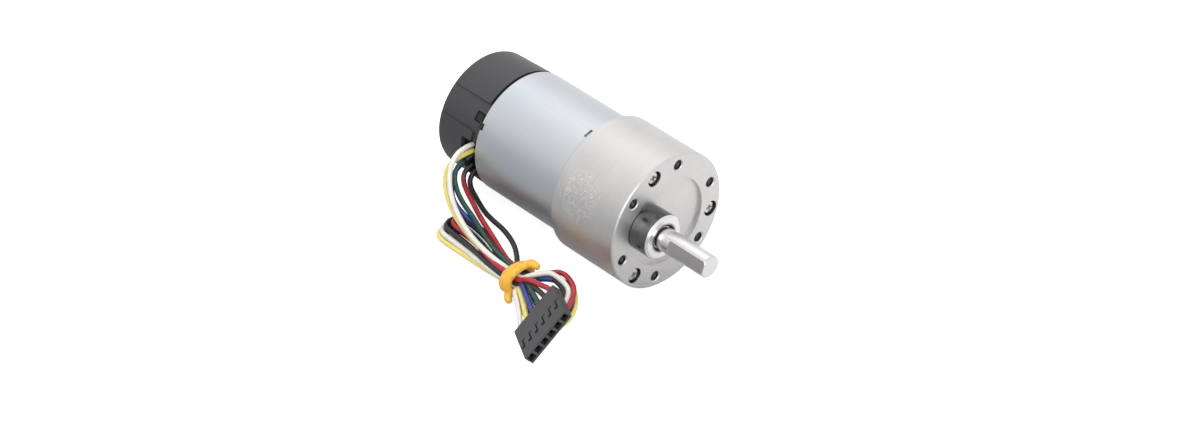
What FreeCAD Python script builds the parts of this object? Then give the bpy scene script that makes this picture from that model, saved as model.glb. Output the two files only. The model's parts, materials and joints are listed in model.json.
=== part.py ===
"""Direct-current gearmotor with a spur gearbox, a magnetic encoder and six leads in a tied hank.

Millimetres. +X runs along the motor axis towards the output shaft, +Z is up. The origin is the centre of
the gearbox's front face. The motor lies on its gearbox, so the surface under it is at z = -GEARBOX_R.
A polar angle is measured round the motor axis, from +Y towards +Z.
"""

import FreeCAD
import Part
import math
import os

# ---- driving dimensions: casing ----
GEARBOX_R = 18.5
GEARBOX_LENGTH = 22.0
FRONT_PLATE_T = 3.5
REAR_PLATE_T = 2.0
HOUSING_BORE_R = 17.2
EDGE_BREAK = 0.35
FACE_RECESS_R = 12.0
FACE_RECESS_DEPTH = 0.9
CAN_R = 16.6
CAN_WALL = 1.2
CAN_REAR_X = -52.0
CAN_NOSE = 0.6
CAN_SLOT_X = (-24.1, -23.2)
CAN_SLOT_POLARS = (103, 283)
CAN_SLOT_LENGTH = 2.7
CAN_SLOT_DEPTH = 0.9
CAP_R = 16.45
CAP_WALL = 1.35
CAP_REAR_X = -67.0
CAP_ROUND = 1.0
CAP_REAR_R = 16.0
CAP_GAP = 0.05
CAP_SEAM_X = -53.0
CAP_SEAM_DEPTH = 0.55
FLOOR_Z = -GEARBOX_R

# ---- fasteners and the mounting circle ----
BOLT_CIRCLE_R = 15.5
MOUNT_HOLE_R = 1.25
MOUNT_HOLE_MOUTH_R = 1.6
MOUNT_HOLE_DEPTH = 3.0
MOUNT_HOLE_POLARS = (15, 75, 135, 195, 255, 315)
LONG_SCREW_POLARS = (105, 225, 345)
LONG_SCREW_R = 1.0
LONG_SCREW_HEAD_R = 1.8
LONG_SCREW_HEAD_T = 1.3
HEAD_ROUND = 0.8
LONG_SCREW_TIP_X = -21.4
COUNTERBORE_R = 2.1
COUNTERBORE_DEPTH = 1.8
CLEARANCE_HOLE_R = 1.08
POST_R = 2.3
POST_ROOT = 0.5
MOTOR_SCREW_R = 1.25
MOTOR_SCREW_CIRCLE_R = 8.5
MOTOR_SCREW_POLARS = (105, 285)
MOTOR_SCREW_COUNTERSINK = 1.2
MOTOR_SCREW_RECESS = (0.6, 0.5, 2.2)
SCREW_SINK = 0.05
RECESS_WIDTH = 0.55
RECESS_DEPTH = 0.7

# ---- output shaft ----
OUTPUT_OFFSET = 7.0
OUTPUT_POLAR = 165.0
BOSS_R = 6.0
BOSS_X = 6.0
BOSS_SPIGOT_R = 4.6
BOSS_GROOVE = 0.12
BOSS_CHAMFER = 0.6
BOSS_SEAM_R = 5.8
BOSS_SEAM_X = 0.1
BOSS_MOUTH = 0.5
SHAFT_R = 3.0
SHAFT_TIP_X = 22.0
SHAFT_FLAT_X = 10.0
SHAFT_FLAT_DEPTH = 0.5
SHAFT_FLAT_POLAR = 160.5
SHAFT_TIP_CHAMFER = 0.35
# a relief groove where the part of the shaft in the bushing ends
SHAFT_RELIEF_X = (5.4, 6.2)
SHAFT_RELIEF_DEPTH = 0.2
REAR_JOURNAL_R = 2.0
REAR_JOURNAL_INSET = 0.6
THRUST_SLEEVE_T = 1.4
RUNNING_GAP = 0.04
AXIAL_GAP = 0.1

# ---- gear train: each pair is (pinion teeth, wheel teeth) ----
MODULE = 0.4
FIRST_PAIR = (12, 30)
SECOND_PAIR = (12, 30)
LAST_PAIR = (15, 45)
PRESSURE_ANGLE = 20.0
ADDENDUM = 0.8 * MODULE
DEDENDUM = 1.2 * MODULE
TOOTH_THINNING = 0.05
PIN_R = 1.0
PIN_SEAT = 1.2
FIRST_WHEEL_X = (-19.2, -16.4)
FIRST_PINION_X = (-16.4, -11.8)
SECOND_WHEEL_X = (-15.4, -12.6)
SECOND_PINION_X = (-12.6, -6.3)
OUTPUT_GEAR_X = (-11.4, -6.8)
MOTOR_PINION_X = (-20.5, -16.3)
WHEEL_WEB = 0.7
WHEEL_RIM = 0.8
BLIND_WALL = 0.4
# a span along X that is longer than the motor, for a cut right through a piece
RIGHT_THROUGH = (-80, 40)

# ---- motor ----
ARMATURE_SHAFT_R = 1.15
ARMATURE_SHAFT_PROUD = 0.6
SHAFT_END_CHAMFER = 0.2
ARMATURE_R = 11.9
ARMATURE_X = (-45.0, -30.0)
POLES = 5
POLE_NECK = 3.6
POLE_NECK_TOP_R = 9.4
POLE_HUB_R = 4.2
SHOE_GAP = 12.0
SHOE_ROOT = 0.4
COIL_WIDTH = 1.05
COIL_R = (5.2, 8.85)
COIL_OVERHANG = 1.6
MAGNET_R = (12.5, 15.3)
MAGNET_X = (-47.0, -28.0)
MAGNET_ARC = 130.0
MAGNET_POLARS = (90, 270)
COMMUTATOR_R = 3.4
COMMUTATOR_SLEEVE_R = 2.1
COMMUTATOR_X = (-49.2, -46.9)
SEGMENT_SLOT = 0.35
SLEEVE_PROUD = 0.2
THRUST_WASHER_R = 2.2
THRUST_WASHER_T = (0.8, 0.5)
END_BELL_X = (-52.0, -49.8)
BUSHING_R = 3.4
FRONT_BUSHING_X = (-25.4, -21.2)
REAR_BUSHING_X = (-52.6, -49.6)
TERMINAL_R = 10.5
TERMINAL_POLARS = (90, 270)
TERMINAL_FRONT_X = -48.6
# a terminal's thickness and width
TERMINAL_BLADE = (0.6, 2.2)
PLATE_BORE_GAP = 0.2
BRUSH_POLARS = (0, 180)
HOLDER_R = (4.4, 11.0)
HOLDER_WIDTH = 3.6
HOLDER_WALL = 0.4
HOLDER_FRONT_X = -46.9
BRUSH_GAP = 0.05
BRUSH_LIFT = 0.08
SPRING_R = (8.2, 10.6)
SPRING_INSET = 0.5

# ---- encoder ----
BASE_X = (-53.4, -52.05)
BASE_R = 14.9
BASE_BORE_GAP = 0.6
HOOK_X = -56.2
HOOK_ARM_R = (13.4, 14.6)
HOOK_TOOTH_X = (-55.4, -53.4)
HOOK_TOOTH_R = (14.2, 15.4)
HOOK_WIDTH = 2.2
BOARD_X = (-58.2, -57.0)
BOARD_R = 14.6
BOARD_BORE_GAP = 1.0
SOLDER_PROUD = 0.4
CHIP_T = 1.1
CHIP_R = (9.0, 11.6)
CHIP_WIDTH = 2.4
CHIP_POLARS = (60, 225, 300)
DISC_X = (-61.8, -59.4)
DISC_R = 5.0
DISC_HUB_WALL = 0.9
DISC_HUB_PROUD = 0.4
SENSOR_REAR_X = -61.4
SENSOR_R = (6.5, 8.0)
SENSOR_WIDTH = 4.0
SENSOR_POLARS = (30, 150)
PANEL_DEPTH = 0.85
PANEL_POLARS = (127.0, 157.0)
BAND_X = -54.3
WINDOW_X = (-55.8, -52.8)
WINDOW_POLARS = (137.5, 147.6)
LEAD_WINDOW_X = -57.6
LEAD_WINDOW_POLARS = (166.0, 215.0)
TAB_POLAR = 148.0
TAB_WIDTH = 1.7
TAB_R = 16.1
TAB_LENGTH = 0.7
TAB_GAP = 0.1
TAB_ROOT = 1.2

# ---- leads, hank, tie and connector ----
LEAD_D = 1.35
LEADS = ("white", "yellow", "green", "blue", "red", "black")
# the free stretch of each lead, from the encoder board to the tied hank
LEAD_ROUTES = {
    "white": [(-55.0, -14.4, 2.0), (-55.3, -17.9, 2.0), (-54.9, -20.9, 1.1), (-54.0, -23.2, -0.8),
              (-52.7, -24.8, -3.6), (-50.7, -25.9, -6.6), (-47.6, -26.9, -9.4), (-41.4, -28.6, -11.4),
              (-33.0, -29.9, -12.3), (-24.8, -30.4, -12.5)],
    "yellow": [(-54.8, -14.5, 0.2), (-55.4, -17.8, 0.0), (-55.9, -20.8, -0.7), (-55.7, -23.0, -2.3),
               (-54.4, -24.8, -5.0), (-52.2, -25.9, -8.0), (-48.6, -26.7, -11.0), (-43.0, -27.5, -13.1),
               (-36.5, -28.6, -13.9), (-30.0, -30.4, -14.1), (-24.8, -31.3, -14.1)],
    "blue": [(-55.2, -14.4, -1.5), (-55.7, -17.8, -1.7), (-55.9, -20.2, -2.4), (-55.6, -21.8, -3.4),
             (-54.4, -23.2, -5.7), (-52.3, -24.3, -8.6), (-50.0, -24.3, -10.6), (-47.2, -23.7, -12.6),
             (-43.6, -22.6, -14.2), (-38.4, -23.7, -14.9), (-31.6, -27.7, -14.6), (-24.8, -29.6, -14.1)],
    "green": [(-56.2, -14.3, -3.3), (-56.8, -16.9, -3.1), (-57.0, -18.6, -3.9), (-56.0, -20.3, -5.8),
              (-54.0, -21.5, -8.0), (-50.6, -22.2, -10.3), (-46.0, -23.1, -11.6), (-40.5, -25.0, -12.3),
              (-32.4, -27.7, -12.4), (-24.8, -28.8, -12.5)],
    "red": [(-56.2, -13.9, -5.2), (-56.6, -16.1, -6.2), (-56.0, -17.5, -8.2), (-53.8, -18.4, -9.9),
            (-50.6, -19.3, -11.2), (-45.9, -21.0, -12.5), (-38.6, -23.4, -13.3), (-31.5, -26.0, -13.8),
            (-24.8, -27.9, -14.1)],
    "black": [(-55.8, -13.2, -7.0), (-55.9, -15.2, -8.4), (-54.6, -16.4, -10.4), (-50.9, -17.3, -12.0),
              (-46.6, -18.9, -12.4), (-42.2, -19.9, -12.3), (-37.4, -20.5, -12.2), (-31.7, -22.4, -12.2),
              (-27.6, -24.9, -12.4), (-24.8, -27.0, -12.6)],
}
TAIL_ORDER = ("white", "yellow", "blue", "green", "black", "red")
TAIL_START = (-18.7, -31.6, -13.6)
TAIL_PITCH = 1.5
TAIL_FIRST_RUN = (2.2, 0, 0.2)
TAIL_BOW = (0, -0.3, 0.5)
TAIL_LAST_RUN = 0.6
# the hank's parts seen from above, and the heights between which each part lies
REAR_LOOP = [(-56.6, -27.2), (-53.6, -30.4), (-45.6, -32.0), (-35.0, -32.8), (-25.0, -32.8), (-25.0, -26.4),
             (-35.0, -25.0), (-45.6, -23.0), (-53.6, -23.2)]
FRONT_LOOP = [(-18.2, -31.6), (-14.4, -33.0), (-9.0, -34.6), (-3.6, -33.2), (-1.5, -28.4), (-4.6, -22.0),
              (-10.4, -18.0), (-15.6, -20.2), (-18.2, -25.8)]
FRONT_RISE = [(-18.2, -28.8), (-13.4, -28.2), (-8.4, -27.0), (-6.2, -24.2), (-9.8, -20.2), (-14.6, -20.4),
              (-17.8, -25.2)]
WAIST_X = (-25.1, -18.4)
REAR_LOOP_TOP = -15.1
FRONT_LOOP_TOP = -14.3
FRONT_RISE_TOP = -11.2
WAIST_GAP = 0.05
HANK_CLEARANCE = 0.4
# the space kept free in front of the connector's wide face
HANK_CUT = 40.0
HANK_CUT_START = -12.0
TIE_CENTRE = (-22.2, -29.5, -14.1)
TIE_REACH = (4.3, 3.5)
TIE_WIRE_D = 1.7
TIE_TURNS = (-0.95, 0.95)
CONNECTOR_CORNER = (-8.8, -40.6, -18.4)
CONNECTOR_LONG = (0.228, 0.647, 0.727)
CONNECTOR_INSERT = (0.842, -0.506, 0.186)
CONNECTOR_PITCH = 2.54
CONNECTOR_T = 2.5
CONNECTOR_DEPTH = 14.0
CAVITY = (1.9, 1.55)
TERMINAL_SIZE = (1.7, 1.35)
SOCKET_SIZE = (0.9, 0.8)
SOCKET_DEPTH = 4.0
# the gap round each latch tongue, as boxes: from and to along the row, from the terminal's middle, and in depth
LATCH_GAPS = ((-0.2, 0.95, 6.5, 7.1), (-0.2, 0.25, 6.5, 9.6), (-0.95, 0.25, 8.9, 10.0))
TERMINAL_START = 3.6
TERMINAL_END = 13.0

X_AXIS = FreeCAD.Vector(1, 0, 0)
OUTPUT_Y = OUTPUT_OFFSET * math.cos(math.radians(OUTPUT_POLAR))
OUTPUT_Z = OUTPUT_OFFSET * math.sin(math.radians(OUTPUT_POLAR))
REAR_PLATE_X = (-GEARBOX_LENGTH, -GEARBOX_LENGTH + REAR_PLATE_T)


# ---- small helpers ----
def vec(x, y, z):
    return FreeCAD.Vector(x, y, z)


def at_polar(x, r, polar):
    angle = math.radians(polar)
    return vec(x, r * math.cos(angle), r * math.sin(angle))


def rod(x0, x1, r, y=0.0, z=0.0):
    return Part.makeCylinder(r, x1 - x0, vec(x0, y, z), X_AXIS)


def ring(x0, x1, r_in, r_out, y=0.0, z=0.0):
    return rod(x0, x1, r_out, y, z).cut(rod(x0 - 1, x1 + 1, r_in, y, z))


def sector(x0, x1, r_in, r_out, polar_from, polar_to):
    """A piece of a ring between two polar angles."""
    line = Part.LineSegment(vec(x0, r_in, 0), vec(x1, r_in, 0)).toShape()
    side = line.extrude(vec(0, r_out - r_in, 0))
    side.rotate(vec(0, 0, 0), X_AXIS, polar_from)
    return side.revolve(vec(0, 0, 0), X_AXIS, polar_to - polar_from)


def turned(outline, y=0.0, z=0.0):
    """A body of revolution round a line along X, from (x, radius) corners."""
    points = [vec(x, r, 0) for x, r in outline]
    face = Part.Face(Part.makePolygon(points + points[:1]))
    solid = face.revolve(vec(0, 0, 0), X_AXIS, 360)
    solid.translate(vec(0, y, z))
    return solid


def cone(x0, x1, r0, r1, y, z):
    return Part.makeCone(r0, r1, x1 - x0, vec(x0, y, z), X_AXIS)


def polar_box(x0, x1, r0, r1, width, polar):
    """A block that stands on the radius at a polar angle."""
    block = Part.makeBox(x1 - x0, r1 - r0, width, vec(x0, r0, -width / 2))
    block.rotate(vec(0, 0, 0), X_AXIS, polar)
    return block


def save(shape, node):
    shape.exportStep(os.path.join("parts", node + ".step"))
    print(f"{node:24s} solids {len(shape.Solids):2d}  volume {shape.Volume:9.2f}")


def group(shapes):
    return Part.makeCompound(shapes)


# ---- gears ----
def involute(angle_at_base, base_r, r):
    """The point at radius r of an involute that leaves its base circle at an angle, as (y, z)."""
    if r <= base_r:
        return r * math.cos(angle_at_base), r * math.sin(angle_at_base)
    roll = math.sqrt((r / base_r) ** 2 - 1)
    angle = angle_at_base + roll - math.atan(roll)
    return r * math.cos(angle), r * math.sin(angle)


def gear_blank(teeth, x0, x1, phase):
    """A spur gear's toothed disc. Phase is the polar angle of one tooth's centre, in degrees."""
    pitch_r = MODULE * teeth / 2
    base_r = pitch_r * math.cos(math.radians(PRESSURE_ANGLE))
    tip_r = pitch_r + ADDENDUM
    root_r = pitch_r - DEDENDUM
    spread = math.tan(math.radians(PRESSURE_ANGLE)) - math.radians(PRESSURE_ANGLE)
    half_tooth = math.pi / (2 * teeth) - TOOTH_THINNING / pitch_r
    start = -(half_tooth + spread)
    low_r = max(root_r, base_r)
    flank = [involute(start, base_r, r) for r in (low_r, (low_r + tip_r) / 2, tip_r)]
    foot_angle = math.atan2(flank[0][1], flank[0][0])
    edges = []
    for i in range(teeth):
        turn = math.radians(phase) + 2 * math.pi * i / teeth
        rising = [rotated(p, turn, x0) for p in flank]
        falling = [rotated((p[0], -p[1]), turn, x0) for p in flank[::-1]]
        foot = rotated(polar_point(root_r, foot_angle), turn, x0)
        foot_end = rotated(polar_point(root_r, -foot_angle), turn, x0)
        next_foot = rotated(polar_point(root_r, foot_angle), turn + 2 * math.pi / teeth, x0)
        valley = rotated(polar_point(root_r, math.pi / teeth), turn, x0)
        tip = rotated((tip_r, 0.0), turn, x0)
        if base_r > root_r:
            edges.append(Part.LineSegment(foot, rising[0]).toShape())
        edges.append(Part.Arc(*rising).toShape())
        edges.append(Part.Arc(rising[2], tip, falling[0]).toShape())
        edges.append(Part.Arc(*falling).toShape())
        if base_r > root_r:
            edges.append(Part.LineSegment(falling[2], foot_end).toShape())
        edges.append(Part.Arc(foot_end, valley, next_foot).toShape())
    face = Part.Face(Part.Wire(edges))
    return face.extrude(vec(x1 - x0, 0, 0))


def polar_point(r, angle):
    return r * math.cos(angle), r * math.sin(angle)


def rotated(point, angle, x):
    y, z = point
    return vec(x, y * math.cos(angle) - z * math.sin(angle), y * math.sin(angle) + z * math.cos(angle))


def meshed_phase(driver_teeth, driver_phase, teeth, line_polar):
    """The phase of a gear that meshes with a driver, which lies at line_polar seen from the driver."""
    off_line = driver_phase - line_polar
    return line_polar + 180 + 180 / teeth - off_line * driver_teeth / teeth


def polar_of(a, b):
    """The polar angle of the line from point a to point b, both as (y, z)."""
    return math.degrees(math.atan2(b[1] - a[1], b[0] - a[0]))


def centre_distance(pair):
    return MODULE * sum(pair) / 2


def gear_centres():
    """The (y, z) of the two gear pins and the output shaft: the second pin is opposite the shaft."""
    output = (OUTPUT_Y, OUTPUT_Z)
    reach = centre_distance(LAST_PAIR) - OUTPUT_OFFSET
    second_polar = math.radians(OUTPUT_POLAR + 180)
    second = polar_point(reach, second_polar)
    rise = math.acos(reach / 2 / centre_distance(FIRST_PAIR))
    first = polar_point(centre_distance(FIRST_PAIR), second_polar + rise)
    return first, second, output


def wheel(teeth, span, phase, hub_r):
    """A gear wheel with a shallow turned web on both sides."""
    x0, x1 = span
    rim_r = MODULE * teeth / 2 - DEDENDUM - WHEEL_RIM
    blank = gear_blank(teeth, x0, x1, phase)
    blank = blank.cut(ring(x0 - 1, x0 + WHEEL_WEB, hub_r, rim_r))
    return blank.cut(ring(x1 - WHEEL_WEB, x1 + 1, hub_r, rim_r))


def placed(shape, centre):
    shape.translate(vec(0, centre[0], centre[1]))
    return shape


def compound_gear(wheel_teeth, wheel_x, wheel_phase, pinion_teeth, pinion_x, centre):
    hub_r = MODULE * pinion_teeth / 2 + ADDENDUM + WHEEL_RIM / 2
    body = wheel(wheel_teeth, wheel_x, wheel_phase, hub_r)
    body = body.fuse(gear_blank(pinion_teeth, pinion_x[0] - 0.2, pinion_x[1], 0.0))
    bore = rod(*RIGHT_THROUGH, PIN_R + RUNNING_GAP)
    return placed(body.cut(bore).removeSplitter(), centre)


def make_gears():
    first, second, output = gear_centres()
    line1 = polar_of((0, 0), first)
    line2 = polar_of(first, second)
    line3 = polar_of(second, output)
    phase1 = meshed_phase(FIRST_PAIR[0], 0.0, FIRST_PAIR[1], line1)
    phase2 = meshed_phase(SECOND_PAIR[0], 0.0, SECOND_PAIR[1], line2)
    phase3 = meshed_phase(LAST_PAIR[0], 0.0, LAST_PAIR[1], line3)
    pinion = gear_blank(FIRST_PAIR[0], *MOTOR_PINION_X, 0.0)
    save(pinion.cut(rod(*RIGHT_THROUGH, ARMATURE_SHAFT_R)), "motor_pinion")
    save(compound_gear(FIRST_PAIR[1], FIRST_WHEEL_X, phase1, SECOND_PAIR[0], FIRST_PINION_X, first),
         "first_compound_gear")
    save(compound_gear(SECOND_PAIR[1], SECOND_WHEEL_X, phase2, LAST_PAIR[0], SECOND_PINION_X, second),
         "second_compound_gear")
    gear = wheel(LAST_PAIR[1], OUTPUT_GEAR_X, phase3, SHAFT_R + 2 * WHEEL_RIM)
    save(placed(gear.cut(rod(*RIGHT_THROUGH, SHAFT_R)), output), "output_gear")
    pins = [rod(-GEARBOX_LENGTH + BLIND_WALL, -FRONT_PLATE_T + PIN_SEAT, PIN_R, *c) for c in (first, second)]
    save(group(pins), "gear_pins")


# ---- gearbox casing ----
def pin_seats(x0, x1):
    first, second, _ = gear_centres()
    return [rod(x0, x1, PIN_R, *c) for c in (first, second)]


def make_front_plate():
    plate = turned([(-FRONT_PLATE_T, 0), (-FRONT_PLATE_T, GEARBOX_R), (-EDGE_BREAK, GEARBOX_R),
                    (0, GEARBOX_R - EDGE_BREAK), (0, 0)])
    plate = plate.cut(rod(-FACE_RECESS_DEPTH, 1, FACE_RECESS_R))
    plate = plate.cut(rod(-FACE_RECESS_DEPTH, 1, BOSS_R + BOSS_GROOVE, OUTPUT_Y, OUTPUT_Z))
    plate = plate.cut(rod(-FRONT_PLATE_T - 1, 1, BOSS_SPIGOT_R, OUTPUT_Y, OUTPUT_Z))
    for polar in MOUNT_HOLE_POLARS:
        spot = at_polar(0, BOLT_CIRCLE_R, polar)
        plate = plate.cut(rod(-MOUNT_HOLE_DEPTH, 1, MOUNT_HOLE_R, spot.y, spot.z))
        mouth = MOUNT_HOLE_MOUTH_R - MOUNT_HOLE_R
        plate = plate.cut(cone(-mouth, 0.0, MOUNT_HOLE_R, MOUNT_HOLE_MOUTH_R, spot.y, spot.z))
    for polar in LONG_SCREW_POLARS:
        spot = at_polar(0, BOLT_CIRCLE_R, polar)
        plate = plate.cut(rod(-FRONT_PLATE_T - 1, 1, CLEARANCE_HOLE_R, spot.y, spot.z))
        plate = plate.cut(rod(-COUNTERBORE_DEPTH, 1, COUNTERBORE_R, spot.y, spot.z))
    for seat in pin_seats(-FRONT_PLATE_T - 1, -FRONT_PLATE_T + PIN_SEAT):
        plate = plate.cut(seat)
    save(plate, "front_plate")


def make_gearbox_housing():
    x0, x1 = REAR_PLATE_X[1], -FRONT_PLATE_T
    shell = ring(x0, x1, HOUSING_BORE_R, GEARBOX_R)
    inside = rod(x0, x1, HOUSING_BORE_R + POST_ROOT)
    for polar in LONG_SCREW_POLARS:
        spot = at_polar(0, BOLT_CIRCLE_R, polar)
        shell = shell.fuse(rod(x0, x1, POST_R, spot.y, spot.z).common(inside))
    for polar in LONG_SCREW_POLARS:
        spot = at_polar(0, BOLT_CIRCLE_R, polar)
        shell = shell.cut(rod(x0 - 1, x1 + 1, CLEARANCE_HOLE_R, spot.y, spot.z))
    save(shell.removeSplitter(), "gearbox_housing")


def make_rear_plate():
    x0, x1 = REAR_PLATE_X
    plate = turned([(x0, 0), (x0, GEARBOX_R - EDGE_BREAK), (x0 + EDGE_BREAK, GEARBOX_R), (x1, GEARBOX_R),
                    (x1, 0)])
    plate = plate.cut(rod(x0 - 1, x1 + 1, BUSHING_R + PLATE_BORE_GAP))
    plate = plate.cut(rod(x0 + BLIND_WALL, x1 + 1, REAR_JOURNAL_R + RUNNING_GAP, OUTPUT_Y, OUTPUT_Z))
    for seat in pin_seats(x0 + BLIND_WALL, x1 + 1):
        plate = plate.cut(seat)
    for polar in LONG_SCREW_POLARS:
        spot = at_polar(0, BOLT_CIRCLE_R, polar)
        plate = plate.cut(rod(x0 - 1, x1 + 1, LONG_SCREW_R, spot.y, spot.z))
    for polar in MOTOR_SCREW_POLARS:
        spot = at_polar(0, MOTOR_SCREW_CIRCLE_R, polar)
        plate = plate.cut(rod(x0 - 1, x1 + 1, MOTOR_SCREW_R, spot.y, spot.z))
        plate = plate.cut(cone(x1 - MOTOR_SCREW_COUNTERSINK, x1, MOTOR_SCREW_R,
                               MOTOR_SCREW_R + MOTOR_SCREW_COUNTERSINK, spot.y, spot.z))
    save(plate, "gearbox_rear_plate")


def cross_recess(x, depth, width, length, y, z):
    """A cross for a screwdriver, sunk from the face at x."""
    bars = [Part.makeBox(depth + 1, length, width, vec(x - depth, y - length / 2, z - width / 2)),
            Part.makeBox(depth + 1, width, length, vec(x - depth, y - width / 2, z - length / 2))]
    return bars[0].fuse(bars[1])


def make_screws():
    long_screws = []
    head_x = -COUNTERBORE_DEPTH
    top_x = head_x + LONG_SCREW_HEAD_T
    for polar in LONG_SCREW_POLARS:
        spot = at_polar(0, BOLT_CIRCLE_R, polar)
        screw = turned([(LONG_SCREW_TIP_X, 0), (LONG_SCREW_TIP_X, LONG_SCREW_R), (head_x, LONG_SCREW_R),
                        (head_x, LONG_SCREW_HEAD_R), (top_x - HEAD_ROUND / 2, LONG_SCREW_HEAD_R),
                        (top_x - HEAD_ROUND / 8, LONG_SCREW_HEAD_R - HEAD_ROUND * 3 / 8),
                        (top_x, LONG_SCREW_HEAD_R - HEAD_ROUND), (top_x, 0)],
                       spot.y, spot.z)
        slot = cross_recess(top_x, RECESS_DEPTH, RECESS_WIDTH, LONG_SCREW_HEAD_R, spot.y, spot.z)
        long_screws.append(screw.cut(slot))
    save(group(long_screws), "gearbox_screws")
    short_screws = []
    top_x = REAR_PLATE_X[1] - SCREW_SINK
    tip_x = -GEARBOX_LENGTH - CAN_WALL
    flare = MOTOR_SCREW_COUNTERSINK - SCREW_SINK
    for polar in MOTOR_SCREW_POLARS:
        spot = at_polar(0, MOTOR_SCREW_CIRCLE_R, polar)
        screw = turned([(tip_x, 0), (tip_x, MOTOR_SCREW_R), (top_x - flare, MOTOR_SCREW_R),
                        (top_x, MOTOR_SCREW_R + flare), (top_x, 0)], spot.y, spot.z)
        short_screws.append(screw.cut(cross_recess(top_x, *MOTOR_SCREW_RECESS, spot.y, spot.z)))
    save(group(short_screws), "motor_mount_screws")


# ---- output ----
def make_output():
    bushing = turned([(-FRONT_PLATE_T, 0), (-FRONT_PLATE_T, BOSS_SPIGOT_R), (-FACE_RECESS_DEPTH, BOSS_SPIGOT_R),
                      (-FACE_RECESS_DEPTH, BOSS_SEAM_R), (BOSS_SEAM_X, BOSS_SEAM_R), (BOSS_SEAM_X, BOSS_R),
                      (BOSS_X - BOSS_CHAMFER, BOSS_R), (BOSS_X, BOSS_R - BOSS_CHAMFER), (BOSS_X, 0)],
                     OUTPUT_Y, OUTPUT_Z)
    bushing = bushing.cut(rod(*RIGHT_THROUGH, SHAFT_R + RUNNING_GAP, OUTPUT_Y, OUTPUT_Z))
    mouth = cone(BOSS_X - BOSS_MOUTH, BOSS_X, SHAFT_R, SHAFT_R + BOSS_MOUTH, OUTPUT_Y, OUTPUT_Z)
    bushing = bushing.cut(mouth)
    save(bushing, "output_bushing")
    step_x = OUTPUT_GEAR_X[0] - 2 * AXIAL_GAP
    end_x = -GEARBOX_LENGTH + REAR_JOURNAL_INSET
    shaft = turned([(end_x, 0), (end_x, REAR_JOURNAL_R), (step_x, REAR_JOURNAL_R), (step_x, SHAFT_R),
                    (SHAFT_TIP_X - SHAFT_TIP_CHAMFER, SHAFT_R),
                    (SHAFT_TIP_X, SHAFT_R - SHAFT_TIP_CHAMFER), (SHAFT_TIP_X, 0)])
    flat_at = SHAFT_R - SHAFT_FLAT_DEPTH
    flat = polar_box(SHAFT_FLAT_X, SHAFT_TIP_X + 1, flat_at, SHAFT_R + 1, 4 * SHAFT_R, SHAFT_FLAT_POLAR)
    # the round stretch and the flatted one keep a face each
    shaft = shaft.cut(rod(SHAFT_FLAT_X, SHAFT_TIP_X + 1, SHAFT_R + 1)).fuse(
        shaft.common(rod(SHAFT_FLAT_X, SHAFT_TIP_X + 1, SHAFT_R + 1)).cut(flat))
    shaft = shaft.cut(ring(*SHAFT_RELIEF_X, SHAFT_R - SHAFT_RELIEF_DEPTH, SHAFT_R + 1))
    save(placed(shaft, (OUTPUT_Y, OUTPUT_Z)), "output_shaft")
    sleeve = ring(OUTPUT_GEAR_X[1] + AXIAL_GAP, -FRONT_PLATE_T, SHAFT_R + RUNNING_GAP,
                  SHAFT_R + THRUST_SLEEVE_T, OUTPUT_Y, OUTPUT_Z)
    save(sleeve, "output_thrust_sleeve")


# ---- motor ----
def make_can():
    front_x = -GEARBOX_LENGTH
    bore_r = CAN_R - CAN_WALL
    can = turned([(CAN_REAR_X, CAN_R), (CAN_REAR_X, bore_r), (front_x - CAN_WALL, bore_r),
                  (front_x - CAN_WALL, BUSHING_R), (front_x, BUSHING_R), (front_x, CAN_R - CAN_NOSE),
                  (front_x - CAN_NOSE, CAN_R)])
    for polar in CAN_SLOT_POLARS:
        can = can.cut(polar_box(*CAN_SLOT_X, CAN_R - CAN_SLOT_DEPTH, CAN_R + 1, CAN_SLOT_LENGTH, polar))
    for polar in (TAB_POLAR, TAB_POLAR + 180):
        can = can.cut(polar_box(CAN_REAR_X - 1, CAN_REAR_X + TAB_LENGTH + TAB_GAP, CAN_R - 2 * CAN_WALL,
                                CAN_R + 1, TAB_WIDTH + 2 * TAB_GAP, polar))
    for polar in MOTOR_SCREW_POLARS:
        spot = at_polar(0, MOTOR_SCREW_CIRCLE_R, polar)
        can = can.cut(rod(-GEARBOX_LENGTH - CAN_WALL - 1, 0, MOTOR_SCREW_R, spot.y, spot.z))
    save(can, "motor_can")
    magnets = []
    for middle in MAGNET_POLARS:
        magnets.append(sector(*MAGNET_X, *MAGNET_R, middle - MAGNET_ARC / 2, middle + MAGNET_ARC / 2))
    save(group(magnets), "field_magnets")
    nose = ring(*FRONT_BUSHING_X, ARMATURE_SHAFT_R + RUNNING_GAP, BUSHING_R)
    save(nose, "front_bushing")
    save(ring(*REAR_BUSHING_X, ARMATURE_SHAFT_R + RUNNING_GAP, BUSHING_R), "rear_bushing")


def pole_polar(i):
    return 90 + 360 * i / POLES


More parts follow.
